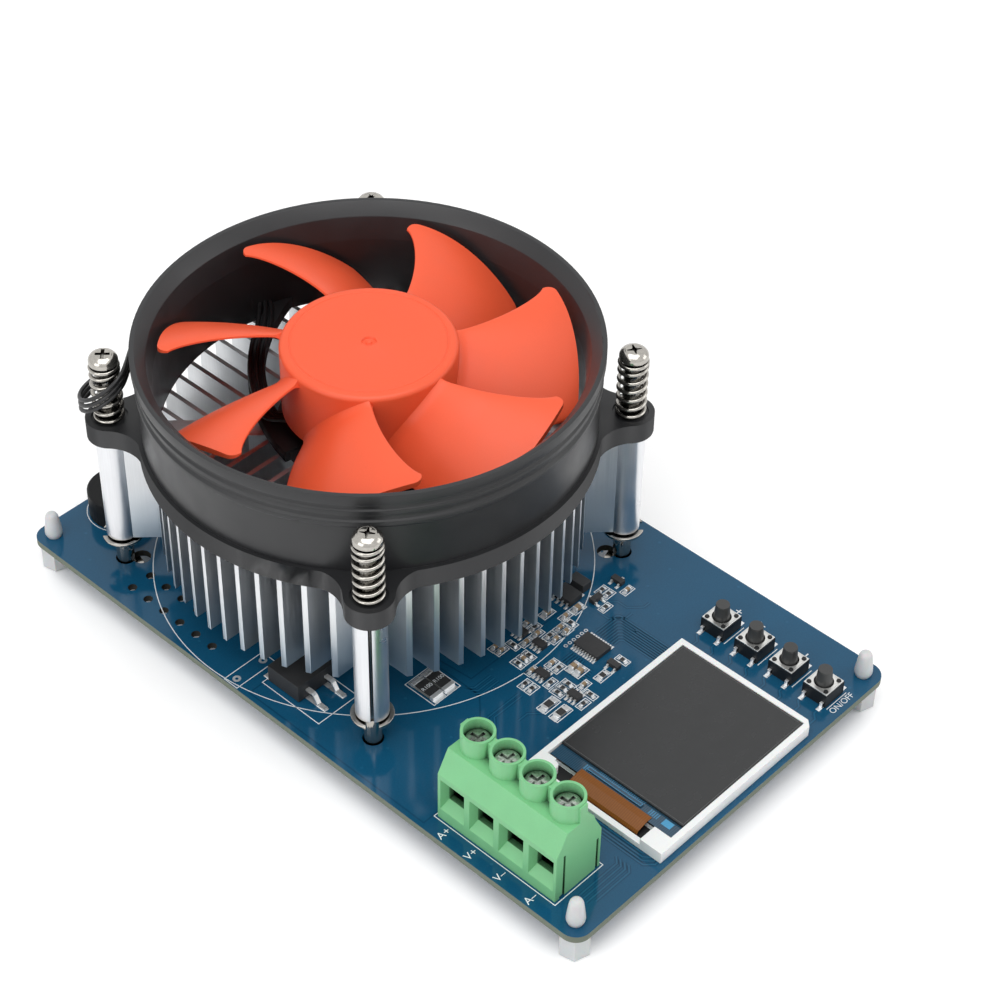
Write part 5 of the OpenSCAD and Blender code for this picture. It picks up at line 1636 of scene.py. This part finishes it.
@dataclass
class TerminalBlock:
    """Four-way screw terminal block.

    Attributes:
        poles: Number of poles.
        shank: Radius of a screw's thread.
        pitch: Height of a turn of the thread.
        thread: Depth of the thread.
        head: Height of a screw's head.
        cross: Length and width of the recess's arms.
        recess: Depth of the recess.
        rise: Height by which a head stands over its solid.
        chamfer: Chamfer at a screw's lower end.
        lead_in: Distance from that chamfer to the first crest of the thread.
        seat_edge: Chamfer at a head's lower edge.
        crown: Radii and heights of a head's upper edge, from its radius and its top.
    """

    poles: int = 4
    shank: float = 1.5
    pitch: float = 0.5
    thread: float = 0.22
    head: float = 2.4
    cross: Spot = (3.7, 0.8)
    recess: float = 0.55
    rise: float = 0.9
    chamfer: float = 0.3
    lead_in: float = 0.05
    seat_edge: float = 0.15
    crown: tuple[Spot, ...] = ((0.0, -0.3), (-0.12, -0.08), (-0.3, 0.0))

    def build(self) -> None:
        """Dress housing, contacts and wire clamps, and build the screws."""
        dress("terminal_housing", Finishes.green, soften=0.16)
        dress("terminal_contacts", Finishes.tin, soften=0.05)
        for pole in range(1, self.poles + 1):
            self.screw(f"terminal_screw_{pole}")
            dress(f"wire_clamp_{pole}", Finishes.brass, soften=0.08)

    def screw(self, node: str) -> None:
        """Build one clamp screw with a cross recess.

        Args:
            node: Node of the screw's solid.
        """
        low, high = box_of(node)
        foot, top, radius = low.z, high.z + self.rise, (high.x - low.x) / 2
        seat = high.z - self.head
        shape = Shape()
        profile = [(0.0, foot), (self.shank - self.chamfer, foot), (self.shank, foot + self.chamfer)]
        for step in range(int((seat - foot - 2 * self.chamfer) / self.pitch)):
            crest = foot + self.chamfer + self.lead_in + self.pitch * step
            profile += [(self.shank, crest), (self.shank - self.thread, crest + self.pitch / 2)]
        profile += [(self.shank, seat), (radius - self.seat_edge, seat), (radius, seat + self.seat_edge)]
        profile += [(radius + out, top + rise) for out, rise in self.crown]
        shape.turned(profile, middle_of(node), steps=48)
        shape.recessed(middle_of(node), profile[-1][0], self.cross, (top, top - self.recess))
        shape.piece(f"clamp_screw_{node[-1]}", Finishes.scored, node, [node])


@dataclass
class Display:
    """Colour display in a white frame with its flex tail.

    Attributes:
        line: Width of the bright edge line round the screen film.
        inset: Distance from the glass edge to that line.
        ledge: Depth of the glass ledge.
        lift: Height of the conductors over the glass.
        rim: Width of the bright line round the driver bar.
        rim_inset: Distance from the bar's edge to that line.
        combs: Rows of conductors: start as a share of the glass, count, pitch, both ends and width.
        patch: Both ends of the test patch, and its start and length as shares of the glass.
        shade_sheet: Distances of the near corner and far corner of the dark sheet of painted shade from those
            of the frame.
        hook: Distance of the hook from the frame's far corner.
        hook_side: Radii and heights of the hook's upper edge, from its top.
    """

    line: float = 0.1
    inset: float = 0.35
    ledge: float = 3.4
    lift: float = 0.015
    rim: float = 0.16
    rim_inset: float = 0.14
    combs: tuple[tuple[float, int, float, float, float, float], ...] = (
        (0.24, 5, 0.5, 1.5, 2.9, 0.26), (0.77, 5, 0.5, 1.5, 2.9, 0.26), (0.34, 26, 0.45, 2.75, 3.3, 0.12),
    )
    patch: tuple[float, float, float, float] = (1.3, 2.9, 0.055, 0.07)
    shade_sheet: tuple[Spot, Spot] = ((1.4, 5.45), (4.8, 3.8))
    hook: Spot = (2.6, 4.0)
    hook_side: tuple[Spot, ...] = ((1.2, -0.3), (1.0, -0.05), (0.0, 0.0))

    def build(self) -> None:
        """Dress the display, its ledge and the edge of its film."""
        dress("display_frame", Finishes.frame_white, soften=0.14)
        dress("display_light_guide", Finishes.guide, soften=0.05)
        dress("display_glass", Finishes.screen, soften=0.06)
        dress("display_driver", Finishes.driver, soften=0.05)
        dress("display_flex", Finishes.flex)
        self.conductors()
        self.edges()
        self.tray()

    def tray(self) -> None:
        """Lay a dark sheet of painted shade beside the flex tail and round off the frame's hook."""
        low, high = box_of("display_frame")
        floor, top = box_of("display_light_guide")[0].z + self.lift, high.z
        (left, near), (right, far) = self.shade_sheet
        profile = [(0.0, floor), (self.hook_side[0][0], floor)]
        profile += [(radius, top + rise) for radius, rise in self.hook_side]
        shade_sheet, bump = Shape(), Shape()
        # Painted shade: a black sheet darkens the tray floor beside the flex tail.
        shade_sheet.plate((low.x + left, low.y + near), (low.x + right, high.y - far), floor)
        bump.turned(profile, (low.x + self.hook[0], high.y - self.hook[1]), steps=32)
        shade_sheet.printed("painted_tray_shade", Finishes.black)
        bump.piece("frame_hook", Finishes.frame_white)

    def conductors(self) -> None:
        """Lay conductors and a test patch on the glass ledge."""
        low, high = box_of("display_glass")
        left, near, far = low.x, low.y, high.y
        level, span = (low.z + high.z) / 2 + self.lift, far - near
        raised = level + self.lift
        ground, lines, patch = Shape(), Shape(), Shape()
        ground.plate((left, near), (left + self.ledge, far), level)
        for start, count, pitch, first, last, width in self.combs:
            for step in range(count):
                y = far - span * start - pitch * step
                lines.plate((left + first, y), (left + last, y + width), raised)
        first, last, start, length = self.patch
        y = near + span * start
        patch.plate((left + first, y), (left + last, y + span * length), raised)
        ground.printed("glass_ledge", Finishes.ledge)
        lines.printed("ledge_conductors", Finishes.conductor)
        patch.printed("ledge_patch", Finishes.patch)

    def edges(self) -> None:
        """Draw the edge of the screen film and the rim of the driver bar."""
        film, rim = Shape(), Shape()
        low, high = box_of("display_glass")
        start = (low.x + self.ledge + self.inset, low.y + self.inset)
        film.outline(start, (high.x - self.inset, high.y - self.inset), self.line, high.z + self.lift)
        film.printed("film_edge", Finishes.film_edge)
        low, high = box_of("display_driver")
        edge = Vector((self.rim_inset, self.rim_inset))
        rim.outline(low.xy + edge, high.xy - edge, self.rim, high.z + self.lift)
        rim.printed("driver_rim", Finishes.conductor)


@dataclass
class PushButtons:
    """Four push switches with plungers.

    Attributes:
        names: Nodes of the plungers.
    """

    names: tuple[str, ...] = ("plus_button", "set_button", "minus_button", "power_button")

    def build(self) -> None:
        """Dress the switches and plungers."""
        dress("switch_bases", Finishes.black, soften=0.1)
        dress("switch_covers", Finishes.tin, soften=0.05)
        dress("switch_legs", Finishes.solder, soften=0.04)
        for name in self.names:
            dress(name, Finishes.plunger, soften=0.15)


@dataclass
class SmallParts:
    """Chips, transistors, resistors and capacitors on the board.

    Attributes:
        packages: Nodes of the moulded packages.
        metal: Nodes of their tab and leads.
        cap_share: Share of a chip's length that each metal end takes.
        shunt_share: Share of a shunt's length that each metal end takes.
        proud: Distance that the metal ends stand out.
        film: Thickness of a resistor's film.
        mark: Number printed on a shunt.
        mark_size: Height of that number.
    """

    packages: tuple[str, ...] = (
        "load_transistor", "edge_transistor", "microcontroller", "small_circuits", "small_transistors",
    )
    metal: tuple[str, ...] = (
        "load_transistor_tab", "load_transistor_leads", "edge_transistor_leads", "circuit_leads",
    )
    cap_share: float = 0.22
    shunt_share: float = 0.16
    proud: float = 0.025
    film: float = 0.08
    mark: str = "R100"
    mark_size: float = 0.95

    def build(self) -> None:
        """Build the small chips and dress the other devices."""
        for node in self.packages:
            dress(node, Finishes.epoxy, soften=0.06)
        for node in self.metal:
            dress(node, Finishes.legs, soften=0.03)
        self.chips()

    def chips(self) -> None:
        """Build ceramic chips with tinned ends and mark the shunts."""
        ends, ceramic, alumina, film, marks = (Shape() for _ in range(5))
        for low, high in bodies_of("chip_capacitors"):
            start, end, rim = self.ends(ends, low, high, self.cap_share)
            ceramic.block(start + rim, end - rim, edge=0.04)
        resistors = [(*body, self.cap_share) for body in bodies_of("chip_resistors")]
        for low, high, share in resistors + [(*body, self.shunt_share) for body in shunts()]:
            start, end, rim = self.ends(ends, low, high, share)
            top = end - rim
            seat = top.z - self.film
            alumina.block(start + rim, (top.x, top.y, seat), edge=0.03)
            first = (start.x + rim.x * 2, start.y + rim.y * 2, seat)
            film.block(first, (top.x - rim.x, top.y - rim.y, top.z + self.proud), edge=0.02)
        for low, high in shunts():
            marks.words(self.mark, self.mark_size, (low.xy + high.xy) / 2, high.z + Layer.GAP.value)
        ends.piece("chip_ends", Finishes.solder)
        ceramic.piece("capacitor_bodies", Finishes.ceramic, stands_for=["chip_capacitors"])
        alumina.piece("resistor_bodies", Finishes.alumina, stands_for=["chip_resistors", "shunt_resistors"])
        film.piece("resistor_films", Finishes.epoxy)
        marks.printed("shunt_marks", Finishes.ink)

    def ends(self, shape: Shape, low: Vector, high: Vector, share: float) -> tuple[Vector, Vector, Vector]:
        """Add the two metal ends of a chip.

        Args:
            shape: Shape that gets the ends.
            low: Lowest corner of the chip.
            high: Highest corner of the chip.
            share: Share of its length that each end takes.

        Returns:
            Lowest and highest corner between the ends, and how far the ends stand out there.
        """
        along = long_axis(low, high)
        span = (high[along] - low[along]) * share
        inner_low, inner_high, rim = low.copy(), high.copy(), Vector((self.proud, self.proud, self.proud))
        inner_low[along] += span
        inner_high[along] -= span
        rim[along] = 0.0
        for first, last in ((low[along], inner_low[along]), (inner_high[along], high[along])):
            cap_low, cap_high = low.copy(), high.copy()
            cap_low[along], cap_high[along] = first, last
            shape.block(cap_low, cap_high, edge=0.06)
        return inner_low, inner_high, rim


@dataclass
class RearParts:
    """Buzzer, supply jack and fan plug."""

    def build(self) -> None:
        """Dress the parts at the rear edge."""
        dress("buzzer", Finishes.buzzer_case, soften=0.25)
        dress("supply_jack", Finishes.black, soften=0.15)
        dress("supply_jack_contacts", Finishes.tin, soften=0.05)
        dress("fan_header", Finishes.header, soften=0.1)
        dress("fan_header_pins", Finishes.tin, soften=0.05)
        dress("fan_plug", Finishes.header, soften=0.12)


def main() -> None:
    """Build the studio and the object, piece by piece."""
    logging.basicConfig(level=logging.INFO, format="%(name)s: %(message)s")
    parts = (
        Studio(), Board(), TerminalBlock(), Display(), PushButtons(), Cooler(), SmallParts(), RearParts(),
    )
    for part in parts:
        part.build()
        log.info("finished %s", type(part).__name__)


if __name__ == "__main__":
    main()
